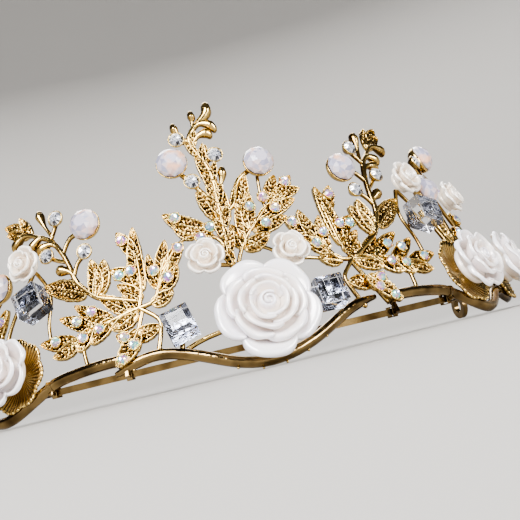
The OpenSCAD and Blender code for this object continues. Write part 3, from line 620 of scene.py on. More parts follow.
CURL_LEAVES = [
    (37, 19.6, 47.6, 24.8, 3.6), (35, 18.2, 34, 26.4, 3.2), (34.6, 18, 30.8, 25.2, 3.2),
    (51, 38.6, 59.4, 43, 2.6), (50.4, 38.2, 53.6, 43.4, 2.2), (51, 38.8, 58.6, 41, 2.4),
]
CREST_LEAVES = [
    (-2.1, 28.4, -6.6, 35.6, 3.6), (-1.8, 31.4, -3.2, 37.4, 2.6),
    (-2.2, 42, -0.6, 46, 1.8), (1.6, 30.4, 6.8, 37.6, 3.2),
    (-1.8, 27, -0.6, 36.6, 3.4), (-1.4, 35.6, -4, 45, 2.8),
]
FRONT_LEAVES = [
    (2, 23.4, 2.2, 30.4, 2.8), (0.7, 21.2, -0.8, 26.8, 2.6), (0.8, 21, 7.8, 23, 2.8),
    (3.6, 25, 6.2, 33.6, 2.8), (4.2, 24.8, 13.4, 25.8, 2.8), (6.6, 26.8, 17.2, 29.4, 2.8),
    (10.8, 30.2, 14.6, 35.8, 2.6), (11.8, 30.8, 19.8, 31.6, 2.4), (11.8, 30.6, 18.8, 35, 2.4),
    (-6.4, 27.2, -16.2, 32.4, 3.2), (-8.6, 26.4, -14.2, 29.2, 2.6), (-5.2, 25, -9.6, 27.4, 2.2),
]
# Small leaves lie on the stalk of the crest like scales.
STALK_LEAVES = [
    (-2.7, 17.6, -4.4, 22.6, 2), (-2.5, 20.6, -0.9, 25.2, 1.8), (-2.3, 23.6, -4.2, 28.4, 2),
    (-2.1, 26.4, -0.2, 30.8, 1.8), (-2, 29.4, -4.2, 34, 2), (-1.9, 32, 0.2, 36, 1.7),
    (-1.7, 34.6, -3.7, 39.2, 2), (-1.5, 37.4, 0.4, 41.4, 1.7), (-1.5, 39.6, -4.2, 43.2, 1.9),
    (-2.4, 42.2, -1.4, 46.2, 1.7), (-3.4, 44, -6, 47.6, 1.7), (-4.3, 46.2, -2.4, 49.6, 1.6),
]
OUTER_LEAVES = [
    (65.2, 11.6, 60.4, 20.6, 3), (66, 11.6, 72.6, 16.2, 2.8), (71, 10.6, 79, 14, 2.8),
    (76, 12.6, 80.6, 20.4, 2.8), (79.6, 13.2, 87.4, 19.2, 2.8), (83, 14.4, 91.2, 13, 2.8),
    (84, 8.8, 92, 6.4, 2.8), (80, 30.2, 88, 26.2, 3), (86.4, 30.4, 94, 34.6, 2.6),
]
print("leaves on one side:", len(BRANCH_LEAVES + CURL_LEAVES + OUTER_LEAVES) + 1)

# %% Leaves
LEAF_STEP = 0.19
LEAF_WIDER = 1.38
LEAF_BOW = 0.05
FEWEST_ACROSS, FEWEST_ALONG = 6, 14
TEETH, TOOTH, TOOTH_START = 4, 0.09, 0.15
ROOT_WIDE, MIDDLE_WIDE, LOW_BELLY, FULLNESS = 0.22, 0.86, 0.9, 0.6
PEBBLE, PEBBLE_EDGE, PEBBLE_SHARE = 0.62, 1.8, 0.65
VEIN_STEP, VEIN_SLANT = 1, 0.8
BORDER_PLACE, BORDER_WIDE, RIB_WIDE, RIB_FADE, FIELD_ENDS = 0.87, 0.13, 0.1, 0.7, 6
LEAF_THICK, BELLY_UP, BORDER_UP, RIB_UP, PEBBLES_UP, TIP_UP = 0.5, 0.15, 0.42, 0.34, 0.65, 0.35
LEAF_BACK, LEAF_WALL_SHADE, PIT_DARK, PEBBLE_LIGHT = 0.1, 0.75, 1.3, 2.2


def bell(x, middle, width):
    """A smooth hump of height 1."""
    return math.exp(-(((x - middle) / width) ** 2))


def leaf(bm, row, out):
    """One leaf, from its root to its tip, as a relief with a flat back."""
    root, tip = Vector(row[0:2]), Vector(row[2:4])
    reach = tip - root
    side = Vector((-reach.y, reach.x)).normalized()
    half = row[4] / 2 * LEAF_WIDER
    bow = LEAF_BOW * reach.length * math.sin(7 * root.x + 3 * tip.y)
    columns = 2 * max(FEWEST_ACROSS, round(half / LEAF_STEP))
    rows = max(FEWEST_ALONG, round(reach.length / LEAF_STEP))

    def place(u, v):
        across = 2 * u - 1
        teeth = 1 + TOOTH * ((TEETH * v + TOOTH_START) % 1 - 0.5) * math.sin(math.pi * v)
        belly = MIDDLE_WIDE * math.sin(math.pi * v**LOW_BELLY) ** FULLNESS
        wide = half * (ROOT_WIDE * (1 - v) + belly) * teeth
        flat = root + reach * v + side * (across * wide + bow * math.sin(math.pi * v))
        cell = noise.voronoi(Vector((flat.x, flat.y, out)) / PEBBLE)[0][0]
        pebble = 1 - min(PEBBLE_EDGE * cell, 1)
        slant = v * reach.length - VEIN_SLANT * abs(across) * half
        vein = 0.5 + 0.5 * math.cos(2 * math.pi * slant / VEIN_STEP)
        grained = PEBBLE_SHARE * pebble + (1 - PEBBLE_SHARE) * vein
        border = bell(abs(across), BORDER_PLACE, BORDER_WIDE)
        rib = bell(across, 0, RIB_WIDE) * (1 - RIB_FADE * v)
        inside = (1 - border) * (1 - rib) * min(1, FIELD_ENDS * v * (1 - v))
        lift = LEAF_THICK + BELLY_UP * (1 - across * across) + BORDER_UP * border + RIB_UP * rib
        lift += PEBBLES_UP * (grained - 0.5) * inside + TIP_UP * v * v
        # Painted shade: the pits are painted dark, and the pebble tops, the border and the rib light.
        relief_shade = 1 - inside * (PIT_DARK - PEBBLE_LIGHT * grained)
        return Vector((flat.x, flat.y, out + lift)), min(1, max(0, relief_shade))

    verts = lay_grid(bm, columns, rows, place)
    rim = [edge for edge in edges_of(verts) if edge.is_boundary]
    walls = bmesh.ops.extrude_edge_only(bm, edges=rim)["geom"]
    base = [item for item in walls if isinstance(item, bmesh.types.BMVert)]
    # The walls down to the flat back get a painted shade, a little darker than a ridge.
    layer = relief_of(bm)
    for vert in base:
        vert.co.z = out + LEAF_BACK
        vert[layer] = LEAF_WALL_SHADE
    close_up(bm, verts + base)


def leaves(name, rows):
    """One piece of leaves. A row ends with the leaf's height on the strip."""
    bm = bmesh.new()
    for row in rows:
        leaf(bm, row[:5], row[5])
    finish_piece(bm, name, bent=True)


def placed(rows, side, mover, out):
    """The rows of some leaves with both of their ends moved, and their height on the strip."""
    return [(*mover(row[0:2], side), *mover(row[2:4], side), row[4], out) for row in rows]


crest_rows = placed(CREST_LEAVES, 1, mirrored, CURL_OUT) + placed(FRONT_LEAVES, 1, mirrored, 0)
leaves("crest_leaves", crest_rows + placed(STALK_LEAVES, 1, mirrored, STALK_LEAF_OUT))
for word, side in SIDES.items():
    branch_rows = placed(BRANCH_LEAVES, side, mirrored, 0)
    leaves(f"branch_leaves_{word}", branch_rows + placed([RAIL_LEAF], side, mirrored, RAIL_LEAF_OUT))
    curl_rows = placed(CURL_LEAVES, side, curl_place, CURL_OUT)
    leaves(f"outer_leaves_{word}", curl_rows + placed(OUTER_LEAVES, side, mirrored, 0))

# %% [markdown]
# A wrap is a small strap that ties the ornament to the headband: a square loop round the sprung strip,
# a short post, and a half-round collar over the rail. The loop starts as a block whose two ends are
# inset and bridged, which leaves the hole for the strip, and a bevel takes off its sharp edges.

# %% Wraps
WRAPS = [(29.5, 2.9), (47, 1.4), (94, 0.6)]
WRAP_LENGTH = 1.3
BAND_MIDDLE_R = 66.6
LOOP_DEEP, LOOP_HIGH, LOOP_WALL, LOOP_EDGE = 2.1, 2.3, 0.3, 0.14
POST_SHARE, POST_DEEP, POST_OUT, POST_EDGE = 0.8, 0.9, 0.35, 0.2
POST_BELOW, POST_ABOVE = 0.6, 0.8
COLLAR_WIDER, COLLAR_THICKER, COLLAR_OUT = 1.12, 1.1, -0.05
# The ends of a collar are a little smaller than its middle. A row is a share of its length and a size.
COLLAR_SIZES = ((-0.5, 0.94), (-0.4, 1), (0.4, 1), (0.5, 0.94))


def band_seat(along):
    """The matrix of a place on the headband, with its X along the strip."""
    return (
        Matrix.Translation(MM * Vector((0, HOOP_R - DEPTH_MID, BAND_Z)))
        @ Matrix.Rotation(along / HOOP_R, 4, "Z")
        @ Matrix.Translation((0, -BAND_MIDDLE_R * MM, 0))
        @ Matrix.Scale(MM, 4)
    )


def block(bm, size, middle):
    """A block of a size about its middle, and its points."""
    made = bmesh.ops.create_cube(bm, size=1)["verts"]
    bmesh.ops.scale(bm, vec=size, verts=made)
    bmesh.ops.translate(bm, vec=middle, verts=made)
    return made


def bevel(bm, edges, width, segments):
    """Takes off edges, with one flat segment or with rounded ones."""
    shape = {"profile": 0.5, "affect": "EDGES", "material": -1, "clamp_overlap": True}
    bmesh.ops.bevel(bm, geom=edges, offset=width, segments=segments, **shape)


def strap_loop(bm, matrix):
    """A square loop of strap round the headband."""
    before = set(bm.verts)
    made = block(bm, (WRAP_LENGTH, LOOP_DEEP, LOOP_HIGH), (0, 0, 0))
    ends = [face for face in faces_of(made) if abs(face.calc_center_median().x) > WRAP_LENGTH * 0.4]
    bmesh.ops.inset_individual(bm, faces=ends, thickness=LOOP_WALL)
    hole_edges = [edge for face in ends for edge in face.edges]
    bmesh.ops.delete(bm, geom=ends, context="FACES_ONLY")
    bmesh.ops.bridge_loops(bm, edges=hole_edges)
    made = new_points(bm, before)
    bmesh.ops.recalc_face_normals(bm, faces=faces_of(made))
    bevel(bm, edges_of(made), LOOP_EDGE, 2)
    set_down(bm, new_points(bm, before), matrix)


def post_and_collar(bm, along, up):
    """The post that rises from the loop, and the collar over the rail."""
    before = set(bm.verts)
    size = (WRAP_LENGTH * POST_SHARE, up + POST_BELOW + POST_ABOVE, POST_DEEP)
    made = block(bm, size, (0, (up + POST_ABOVE - POST_BELOW) / 2, POST_OUT))
    bevel(bm, edges_of(made), POST_EDGE, 2)
    set_down(bm, new_points(bm, before), seat(along, 0, 0))
    wide, thick = RAIL_H * COLLAR_WIDER, RAIL_OUT * COLLAR_THICKER
    section = [(across * wide, lift * thick) for across, lift in RAIL_HALF_ROUND]
    path = [(along + share * WRAP_LENGTH, up, COLLAR_OUT, size) for share, size in COLLAR_SIZES]
    for vert in sweep(bm, path, section, rounded=False):
        vert.co = wrap(vert.co)


wrap_mesh = bmesh.new()
for side in SIDES.values():
    for along, up in WRAPS:
        strap_loop(wrap_mesh, band_seat(side * along))
        post_and_collar(wrap_mesh, side * along, up)
finish_piece(wrap_mesh, "wraps", polished_gilt, smooth=False)
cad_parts["headband"].material_slots[0].material = strip_gilt

# %% [markdown]
# Settings hold the stones. An opal sits in a shallow turned cup, a clear stone in a bezel, a small stone
# in a thin ring with four grains of metal pushed over its edge, and a glass cube on a square pad. A cup
# is a profile turned about its axis, so each kind needs one short table of radius and height.

# %% Places of the stones
OPALS_RIGHT = [(61.6, 25), (83.4, 34.4)]
OPALS = [curl_place((33.2, 33.9), -1), (-10.8, 42.8), (11.2, 38.9), (33.2, 33.9)]
OPALS += OPALS_RIGHT + [mirrored(place, -1) for place in OPALS_RIGHT]
CURL_CLEAR = [(35.1, 28.6), (41.6, 38.9), (45.5, 31.4)]
CLEAR_RIGHT = [(68, 28.6), (76.2, 34)]
CLEAR_STONES = [curl_place(place, -1) for place in CURL_CLEAR] + [(-6.8, 38.1), (-8, 48.5), (1, 43.1)]
CLEAR_STONES += CURL_CLEAR + CLEAR_RIGHT + [mirrored(place, -1) for place in CLEAR_RIGHT]
CUBES = [(-16.7, 6.3, 15), (14, 5.6, 0), (-49.4, 19, 24), (49.8, 18.9, -20)]
BRANCH_STONES = [
    (27, 29, 0), (28.6, 21.4, 0), (25.8, 21.8, 0), (14, 24.3, 0), (17.6, 18.4, 0),
    (20.5, 20.6, 0), (36, 15, 0), (39.7, 13.6, 0), (34.4, 10.9, 0), (38.4, 9.8, 0),
    (45.2, 10.4, 0), (28.8, 7.5, 0.6), (26.8, 5.2, 1.2), (29.4, 2.6, 1.2),
]
FRONT_STONES = [
    (-13.2, 31, 0), (-5.4, 27.2, 0), (-8.3, 25.4, 0.1), (9.3, 31.2, 0.15), (5.3, 29.8, 0),
    (11.4, 28.3, 0), (7.8, 25.4, 0), (16.6, 33.8, 0),
]
OUTER_STONES = [
    (61.8, 18, 0), (70.4, 14.8, 0), (76.8, 13.2, 0.1), (79.4, 18.2, 0), (85.4, 18, 0),
    (88.6, 13.4, 0), (89.4, 7.2, 0), (86.4, 26.4, 0), (91.6, 33.2, 0),
]
SMALL_STONES = {"small_stones_front": FRONT_STONES}
for word, side in SIDES.items():
    SMALL_STONES[f"small_stones_{word}"] = [mirrored(place, side) for place in BRANCH_STONES]
    SMALL_STONES[f"small_stones_far_{word}"] = [mirrored(place, side) for place in OUTER_STONES]
OPAL_OUT, CLEAR_OUT, CUBE_OUT, SMALL_OUT = 2.22, 1.62, 1.72, 1.22
print("stones:", len(OPALS), len(CLEAR_STONES), len(CUBES), sum(len(t) for t in SMALL_STONES.values()))

# %% Settings
OPAL_CUP = [
    (0, 0), (1.2, 0), (2.3, 0.5), (3.05, 1.3), (3.3, 1.95), (3.32, 2.35),
    (3.2, 2.4), (3.1, 2), (2.6, 1.85), (0, 1.85),
]
CLEAR_BEZEL = [
    (0, 0), (0.9, 0), (1.25, 0.5), (1.7, 1.1), (1.78, 1.6), (1.7, 1.7), (1.6, 1.6), (1.56, 1.2), (0, 1.2),
]
SMALL_RING = [
    (0, -0.7), (0.9, -0.7), (1.25, -0.3), (1.32, 0.1), (1.26, 0.22), (1.14, 0.18), (1.1, -0.06), (0, -0.06),
]
OPAL_CUP_OUT, CLEAR_BEZEL_OUT = 0.2, 0.3
OPAL_CUP_SIDES, CLEAR_BEZEL_SIDES, SMALL_RING_SIDES = 24, 20, 14
GRAIN_R, GRAINS, GRAIN_REACH, GRAIN_UP = 0.3, 4, 1.22, 0.24
PAD_BACK_R, PAD_FRONT_R, PAD_EDGE, PAD_RIM, PAD_SUNK = 1.3, 2.1, 0.15, 0.5, 0.35
PAD_HIGH = CUBE_OUT - 0.15
PAD_SHADE = 0.25


def turned_cup(bm, profile, segments, matrix):
    """A turned cup. Its foot is in the shade, so its gold is painted darker towards the foot, a painted
    shade.
    """
    relief_shade = relief_of(bm)
    cup = turn_profile(bm, profile, segments)
    heights = [vert.co.z for vert in cup]
    low, high = min(heights), max(heights)
    for vert in cup:
        vert[relief_shade] = (vert.co.z - low) / (high - low)
    set_down(bm, cup, matrix)


def grain(bm, matrix, shade_value):
    """A small bead of metal, its gold painted lighter or darker by a shade value."""
    relief_shade = relief_of(bm)
    made = bmesh.ops.create_uvsphere(bm, u_segments=8, v_segments=5, radius=GRAIN_R)["verts"]
    for vert in made:
        vert[relief_shade] = shade_value
    set_down(bm, made, matrix)


def foremost(faces):
    """The face that lies furthest out."""
    return max(faces, key=lambda face: face.calc_center_median().z)


def pad(bm, matrix):
    """A square pad for a cube: a tapered block whose front is sunk in the middle."""
    relief_shade = relief_of(bm)
    before = set(bm.verts)
    taper = {"radius1": PAD_BACK_R, "radius2": PAD_FRONT_R, "depth": PAD_HIGH}
    made = bmesh.ops.create_cone(bm, cap_ends=True, segments=4, **taper)["verts"]
    bmesh.ops.rotate(bm, matrix=Matrix.Rotation(math.pi / 4, 3, "Z"), verts=made)
    bmesh.ops.translate(bm, vec=(0, 0, PAD_HIGH / 2), verts=made)
    bevel(bm, edges_of(made), PAD_EDGE, 2)
    front = foremost(faces_of(new_points(bm, before)))
    bmesh.ops.inset_individual(bm, faces=[front], thickness=PAD_RIM, depth=-PAD_SUNK)
    whole = new_points(bm, before)
    # The whole pad is painted in the darker golds, a painted shade where it lies under the cube.
    for vert in whole:
        vert[relief_shade] = PAD_SHADE
    set_down(bm, whole, matrix)


settings = bmesh.new()
for along, up in OPALS:
    turned_cup(settings, OPAL_CUP, OPAL_CUP_SIDES, seat(along, up, OPAL_CUP_OUT))
for along, up in CLEAR_STONES:
    turned_cup(settings, CLEAR_BEZEL, CLEAR_BEZEL_SIDES, seat(along, up, CLEAR_BEZEL_OUT))
for along, up, turn in CUBES:
    pad(settings, seat(along, up, 0, turn))
finish_piece(settings, "cups_and_pads")

rings = bmesh.new()
for table in SMALL_STONES.values():
    for along, up, extra in table:
        turned_cup(rings, SMALL_RING, SMALL_RING_SIDES, seat(along, up, SMALL_OUT + extra))
        for k in range(GRAINS):
            grain_seat = seat(along, up, SMALL_OUT + extra, 45 + 360 * k / GRAINS)
            grain(rings, grain_seat @ Matrix.Translation((GRAIN_REACH, 0, GRAIN_UP)), 1)
finish_piece(rings, "stone_rings")

# %% [markdown]
# Behind each medium rose lies a dish of eight gilt sepals with fine ribs and a beaded edge. It is a round
# grid whose radius waves in and out and whose height rises like a saucer. Only one side of the sheet is
# laid, and a Solidify modifier gives it the thickness of the casting.

# %% Sepal dishes
MEDIUM_ROSES = [(55.6, 4.8, 10), (-55.6, 4.8, 40), (77.2, 3.6, 60), (-77.2, 3.6, 48)]
BIG_ROSE = (0.4, 4.9, 40)
BIG_ROSE_CUP = [(0, 0), (3.2, 0), (6.4, 1.5), (6.5, 2.1), (0, 2.1)]
SEPALS, SEPAL_RIBS, SEPAL_BEADS = 8, 48, 32
SEPAL_R, SEPAL_DIP = 8, 0.09
DISH_BACK, DISH_UP, DISH_CURVE, RIB_HIGH = 0.3, 1.75, 2.2, 0.09
DISH_SHADE, RIB_SHADE = 0.62, 0.3
# The beads are painted nearly as light as a ridge; those under the rail get a slight painted shade.
BEAD_UP, BEAD_IN, BEAD_SHADE = 2.1, 0.1, 0.9
RAIL_BEAD_DOWN, RAIL_BEAD_OUT, RAIL_BEAD_SWAY, RAIL_BEAD_SHADE = 1.1, 0.45, 0.25, 0.8
# A bead of the rail comes every third step of its wave, five steps to a row, and none at its ends.
RAIL_BEAD_STEPS, RAIL_BEADS = 5, slice(4, -4, 3)


def sepal_reach(angle):
    """The radius of the dish's edge in a direction."""
    return SEPAL_R * (1 - SEPAL_DIP * (1 - abs(math.cos(SEPALS * angle / 2))))


def sepal_dish(bm, matrix):
    """A dish of sepals, from its middle out to its edge."""

    def place(u, v):
        angle = 2 * math.pi * u
        rib = math.cos(SEPAL_RIBS * angle)
        reach = sepal_reach(angle) * v
        lift = DISH_BACK + DISH_UP * v**DISH_CURVE + RIB_HIGH * rib * v
        # Painted shade: the dish is painted in a middle gold, lighter on each rib and darker in the
        # grooves.
        relief_shade = DISH_SHADE + RIB_SHADE * rib
        return Vector((reach * math.cos(angle), reach * math.sin(angle), lift)), relief_shade

    before = set(bm.verts)
    lay_grid(bm, 4 * SEPAL_RIBS, 6, place)
    bmesh.ops.remove_doubles(bm, verts=new_points(bm, before), dist=SEAM)
    sheet = new_points(bm, before)
    bmesh.ops.recalc_face_normals(bm, faces=faces_of(sheet))
    set_down(bm, sheet, matrix)


dishes = bmesh.new()
beads = bmesh.new()
for along, up, turn in MEDIUM_ROSES:
    dish_seat = seat(along, up, 0, turn)
    sepal_dish(dishes, dish_seat)
    for k in range(SEPAL_BEADS):
        angle = 2 * math.pi * (k + 0.5) / SEPAL_BEADS
        reach = sepal_reach(angle) - BEAD_IN
        bead_place = Matrix.Translation((reach * math.cos(angle), reach * math.sin(angle), BEAD_UP))
        grain(beads, dish_seat @ bead_place, BEAD_SHADE)
turned_cup(beads, BIG_ROSE_CUP, 32, seat(*BIG_ROSE[:2], 0))
for along, up in through(FRONT_WAVE, RAIL_BEAD_STEPS)[RAIL_BEADS]:
    out = RAIL_BEAD_OUT + RAIL_BEAD_SWAY * math.sin(9 * along)
    grain(beads, seat(along, up - RAIL_BEAD_DOWN, out), RAIL_BEAD_SHADE)
finish_piece(dishes, "sepal_dishes", thick=0.45)
finish_piece(beads, "beaded_edges")

# %% [markdown]
# The roses are cast in pearly resin: each is a flat-backed flower of cupped petals round a wound bud. A
# real mould is carved petal by petal, and so is this one. Each petal is a grid bent to a profile of
# radius and height, one ring of petals inside another, with the lips curled outwards. Solidify gives
# the petals their thickness and a subdivision surface rounds the lips. The resin is milky, with mica
# stirred in, and glossy all over. Its colour is painted creamy at the heart, a painted shade, and
# whiter with a touch of lavender towards the lips, a painted pearly sheen.

# %% Resin materials
CLOUD_MM = 5
RESIN_SKIN = {"Roughness": 0.28, "IOR": 1.54, "Metallic": 0.08, "Coat Weight": 0.9, "Coat Roughness": 0.08}
MILK_RADIUS = (1.4 * MM, 1.2 * MM, 1.1 * MM)


def resin_material(name, heart_shade, lip_sheen, swirl):
    """Cast resin with mica in it: milky with soft swirls and a clear glossy skin, its colour painted with
    shade at the heart and sheen at the lips.
    """
    made, tree = start_material(name)
    clouds_shape = {**sized(tree, CLOUD_MM), "Detail": 3, "Distortion": 1.2}
    clouds = add(tree, "ShaderNodeTexNoise", clouds_shape)
    # The heart colour is a painted shade and the lip colour a painted pearly sheen; relief_shade mixes
    # them.
    heart_shade_to_lip_sheen = add(tree, "ShaderNodeAttribute", {}, "Fac", attribute_name="relief_shade")
    shade_and_sheen_colours = {FACTOR: heart_shade_to_lip_sheen, FIRST_COLOUR: colour(heart_shade), SECOND_COLOUR: colour(lip_sheen)}
    petals = add(tree, "ShaderNodeMix", shade_and_sheen_colours, MIXED_COLOUR, data_type="RGBA")
    cloud_range = {"Value": clouds, "From Min": 0.45, "From Max": 0.75, "To Max": 0.6}
    swirls = add(tree, "ShaderNodeMapRange", cloud_range)
    swirl_colours = {FACTOR: swirls, FIRST_COLOUR: petals, SECOND_COLOUR: colour(swirl)}
    swirled = add(tree, "ShaderNodeMix", swirl_colours, MIXED_COLOUR, data_type="RGBA")
    bump = add(tree, "ShaderNodeBump", {"Height": clouds, "Distance": 0.15 * MM, "Strength": 0.5})
    shade(tree, {"Base Color": swirled, "Normal": bump, **RESIN_SKIN})
    shade(tree, {"Subsurface Weight": 0.4, "Subsurface Radius": MILK_RADIUS, "Subsurface Scale": 1})
    return made


# A resin's colours are its heart's painted shade, its lips' painted sheen, and its swirls of mica.
pearl_resin = resin_material("pearl_white_cast_resin", "f8eade", "f9f6fd", "ebe8f7")
ivory_resin = resin_material("ivory_cast_resin", "f2e0cc", "f9f0e7", "faf5ee")
print("resins:", pearl_resin.name, ivory_resin.name)

# %% Rose tables
# A ring is the number of petals, half of a petal's width in degrees, the ring's turn, how much the
# petal's corners are cut back, how much one side lies outside the next petal, and the profile of
# radius and height.
BIG_RINGS = [
    (5, 40, 0, 0.28, 0.02, [(2.5, 1.4), (6, 2.5), (8.8, 4), (10.5, 4.4), (11.1, 3.3)]),
    (5, 44, 36, 0.16, 0.04, [(2, 2), (5.2, 3.6), (6.9, 5.1), (7.8, 5.7), (8.3, 5)]),
    (4, 56, 10, 0.12, 0.06, [(1.6, 2.8), (4, 4.8), (5, 6.1), (5.6, 6.8), (6, 6.3)]),
    (3, 76, 40, 0.1, 0.09, [(1.2, 3.6), (2.8, 5.6), (3.4, 6.7), (3.7, 7.4), (4, 7.1)]),
]
MEDIUM_RINGS = [
    (5, 40, 0, 0.36, 0.02, [(1.8, 1), (4.6, 2.2), (6.4, 3.8), (7.1, 4.3), (7.5, 3.6)]),
    (4, 52, 30, 0.34, 0.05, [(1.4, 1.8), (3.5, 3.8), (4.6, 5.3), (5.2, 6), (5.6, 5.5)]),
    (3, 68, 10, 0.16, 0.09, [(1, 2.4), (2.2, 4.2), (2.8, 5.4), (3.1, 6.2), (3.4, 5.9)]),
]
SMALL_RINGS = [
    (5, 40, 0, 0.36, 0.03, [(1, 0.6), (2.6, 1.5), (3.5, 2.6), (3.9, 3), (4.1, 2.5)]),
    (3, 66, 30, 0.3, 0.08, [(0.8, 1.4), (1.9, 2.7), (2.4, 3.6), (2.7, 4.1), (2.9, 3.8)]),
]
# A kind of rose is its rings, the radius and the height of its bud, and the thickness of its petals.
ROSE_KINDS = {
    "big": (BIG_RINGS, 2.2, 7.9, 0.6),
    "medium": (MEDIUM_RINGS, 1.8, 6.5, 0.5),
    "small": (SMALL_RINGS, 1.4, 4.4, 0.42),
}
SMALL_ROSES = [
    (-8.6, 19.6, 0), (9.8, 17.1, 50), (52.3, 28.2, 15),
    (-52.3, 28.2, 80), (74.2, 22.4, 40), (-74.2, 22.4, 10),
]
BIG_ROSE_OUT, MEDIUM_ROSE_OUT, SMALL_ROSE_OUT = 2.32, 2.52, 1.52

# %% Roses
PROFILE_STEPS, PETAL_COLUMNS, CORE_SIDES = 3, 12, 24
NOTCH_DEEP, NOTCH_WIDE, NOTCH_ASIDE, SWELL = 0.04, 0.3, 0.3, 0.03
FOLD, FOLD_TURN, RIPPLE, RIPPLE_TURN = 0.045, 4.4, 0.014, 9
TUCK, SAG, LIP_SHEEN_WEIGHT = 0.035, 0.03, 0.3
BUD_TURNS, BUD_COLUMNS, BUD_ROWS = 1.7, 28, 4
BUD_WOUND, BUD_BULGE, BUD_FOOT, BUD_SLANT, BUD_TOP_SHEEN = 0.78, 0.18, 0.55, 0.05, 0.8
# The core is in shares of the radius and the height of the rose, and its tip in shares of the bud.
CORE_BACK, CORE_ROWS = 0.5, [(0.62, 0.16), (0.5, 0.3), (0.3, 0.55)]
CORE_TIP, CORE_TOP = (0.5, 0.84), 0.88


def petal(bm, ring, k, rose_r):
    """Petal number k of a ring: a grid bent to the profile, with one side tucked under its neighbour."""
    count, half_angle, ring_turn, corner, overlap, profile = ring
    turn = ring_turn + 360 * k / count
    curve = through(profile, PROFILE_STEPS)
    last = len(curve) - 1
    swell = SWELL * math.sin(1.7 * turn)

    def place(u, v):
        across = 2 * u - 1
        radius, height = curve[round(v * last)]
        rounded_off = corner * abs(across) ** 3 * v
        notch = NOTCH_DEEP * bell(across, NOTCH_ASIDE * math.sin(turn), NOTCH_WIDE) * v**4
        reach = radius * (1 + swell - rounded_off - notch + overlap * across)
        fold = FOLD * math.sin(FOLD_TURN * across + turn)
        waves = fold + RIPPLE * math.sin(RIPPLE_TURN * across - turn)
        tuck = TUCK * across - SAG * across * across
        lift = height + (tuck * v + waves * v**3) * rose_r
        angle = math.radians(turn + half_angle * across)
        # Painted shade and sheen: the colour turns from the heart's painted shade to the lips' painted
        # sheen, outwards and towards each lip.
        lip_sheen_share = LIP_SHEEN_WEIGHT * v * v + (1 - LIP_SHEEN_WEIGHT) * (reach / rose_r) ** 2
        return Vector((reach * math.cos(angle), reach * math.sin(angle), lift)), min(1, lip_sheen_share)

    lay_grid(bm, PETAL_COLUMNS, last, place)


def wound_bud(bm, bud_r, tall):
    """A sheet wound into a spiral, the closed bud in the middle of a rose."""

    def place(u, v):
        angle = 2 * math.pi * BUD_TURNS * u
        bulge = 1 - BUD_BULGE + BUD_BULGE * math.sin(math.pi * v)
        radius = bud_r * (1 - BUD_WOUND * u) * bulge
        height = tall * (BUD_FOOT + (1 - BUD_FOOT - BUD_SLANT * (1 - u)) * v)
        # The bud's foot gets the heart's painted shade, and its top most of the lips' painted sheen.
        return Vector((radius * math.cos(angle), radius * math.sin(angle), height)), BUD_TOP_SHEEN * v * v

    lay_grid(bm, BUD_COLUMNS, BUD_ROWS, place)


def rose(name, kind, seat_matrix, material):
    """A rose of rings of petals round a wound bud, on a solid core that closes its back."""
    rings, bud_r, tall, thick = ROSE_KINDS[kind]
    bm = bmesh.new()
    rose_r = rings[0][-1][-1][0]
    for ring in rings:
        for k in range(ring[0]):
            petal(bm, ring, k, rose_r)
    wound_bud(bm, bud_r, tall)
    core = [(0, thick / 2), (CORE_BACK * rose_r, thick / 2)]
    core += [(wide * rose_r, high * tall) for wide, high in CORE_ROWS]
    core += [(CORE_TIP[0] * bud_r, CORE_TIP[1] * tall), (0, CORE_TOP * tall)]
    turn_profile(bm, core, CORE_SIDES)
    set_down(bm, bm.verts, seat_matrix)
    finish_piece(bm, name + "_petals", material, [name], thick=thick, levels=1)


rose("big_rose", "big", seat(*BIG_ROSE[:2], BIG_ROSE_OUT, BIG_ROSE[2]), pearl_resin)
for k, (along, up, turn) in enumerate(MEDIUM_ROSES):
    rose_seat = seat(along, up, MEDIUM_ROSE_OUT, turn)
    rose(f"medium_rose_{k + 1}", "medium", rose_seat, pearl_resin)
for k, (along, up, turn) in enumerate(SMALL_ROSES):
    rose_seat = seat(along, up, SMALL_ROSE_OUT, turn)
    rose(f"small_rose_{k + 1}", "small", rose_seat, ivory_resin)

# %% [markdown]
# The stones are cut glass. A cutter grinds flat facets in rings from the girdle up to the table, so
# each stone here is the convex hull of a few rings of points, which gives flat facets by itself. Every
# facet gets a number called spark, because on the real stones each one mirrors something else, and
# the spark picks the facet's colour, a painted reflection, bright or dark. The small stones also have
# a metal coat in rainbow colours, which drift from one stone to the next.

# %% Stone materials
COAT_MM, RIPPLE_MM, CREASE_MM, MILK_MM = 4.5, 4, 2.2, 2.6
COAT_SHARE = 0.42
FIRE_RADIUS = (1.6 * MM, 1.3 * MM, 1.5 * MM)


def stepped_colours(tree, share, codes):
    """Colours in equal steps of a share, with no blend from one to the next."""
    ramp = add(tree, "ShaderNodeValToRGB", {"Fac": share})
    ramp.node.color_ramp.interpolation = "CONSTANT"
    set_stops(ramp, [(k / len(codes), code) for k, code in enumerate(codes)])
    return ramp


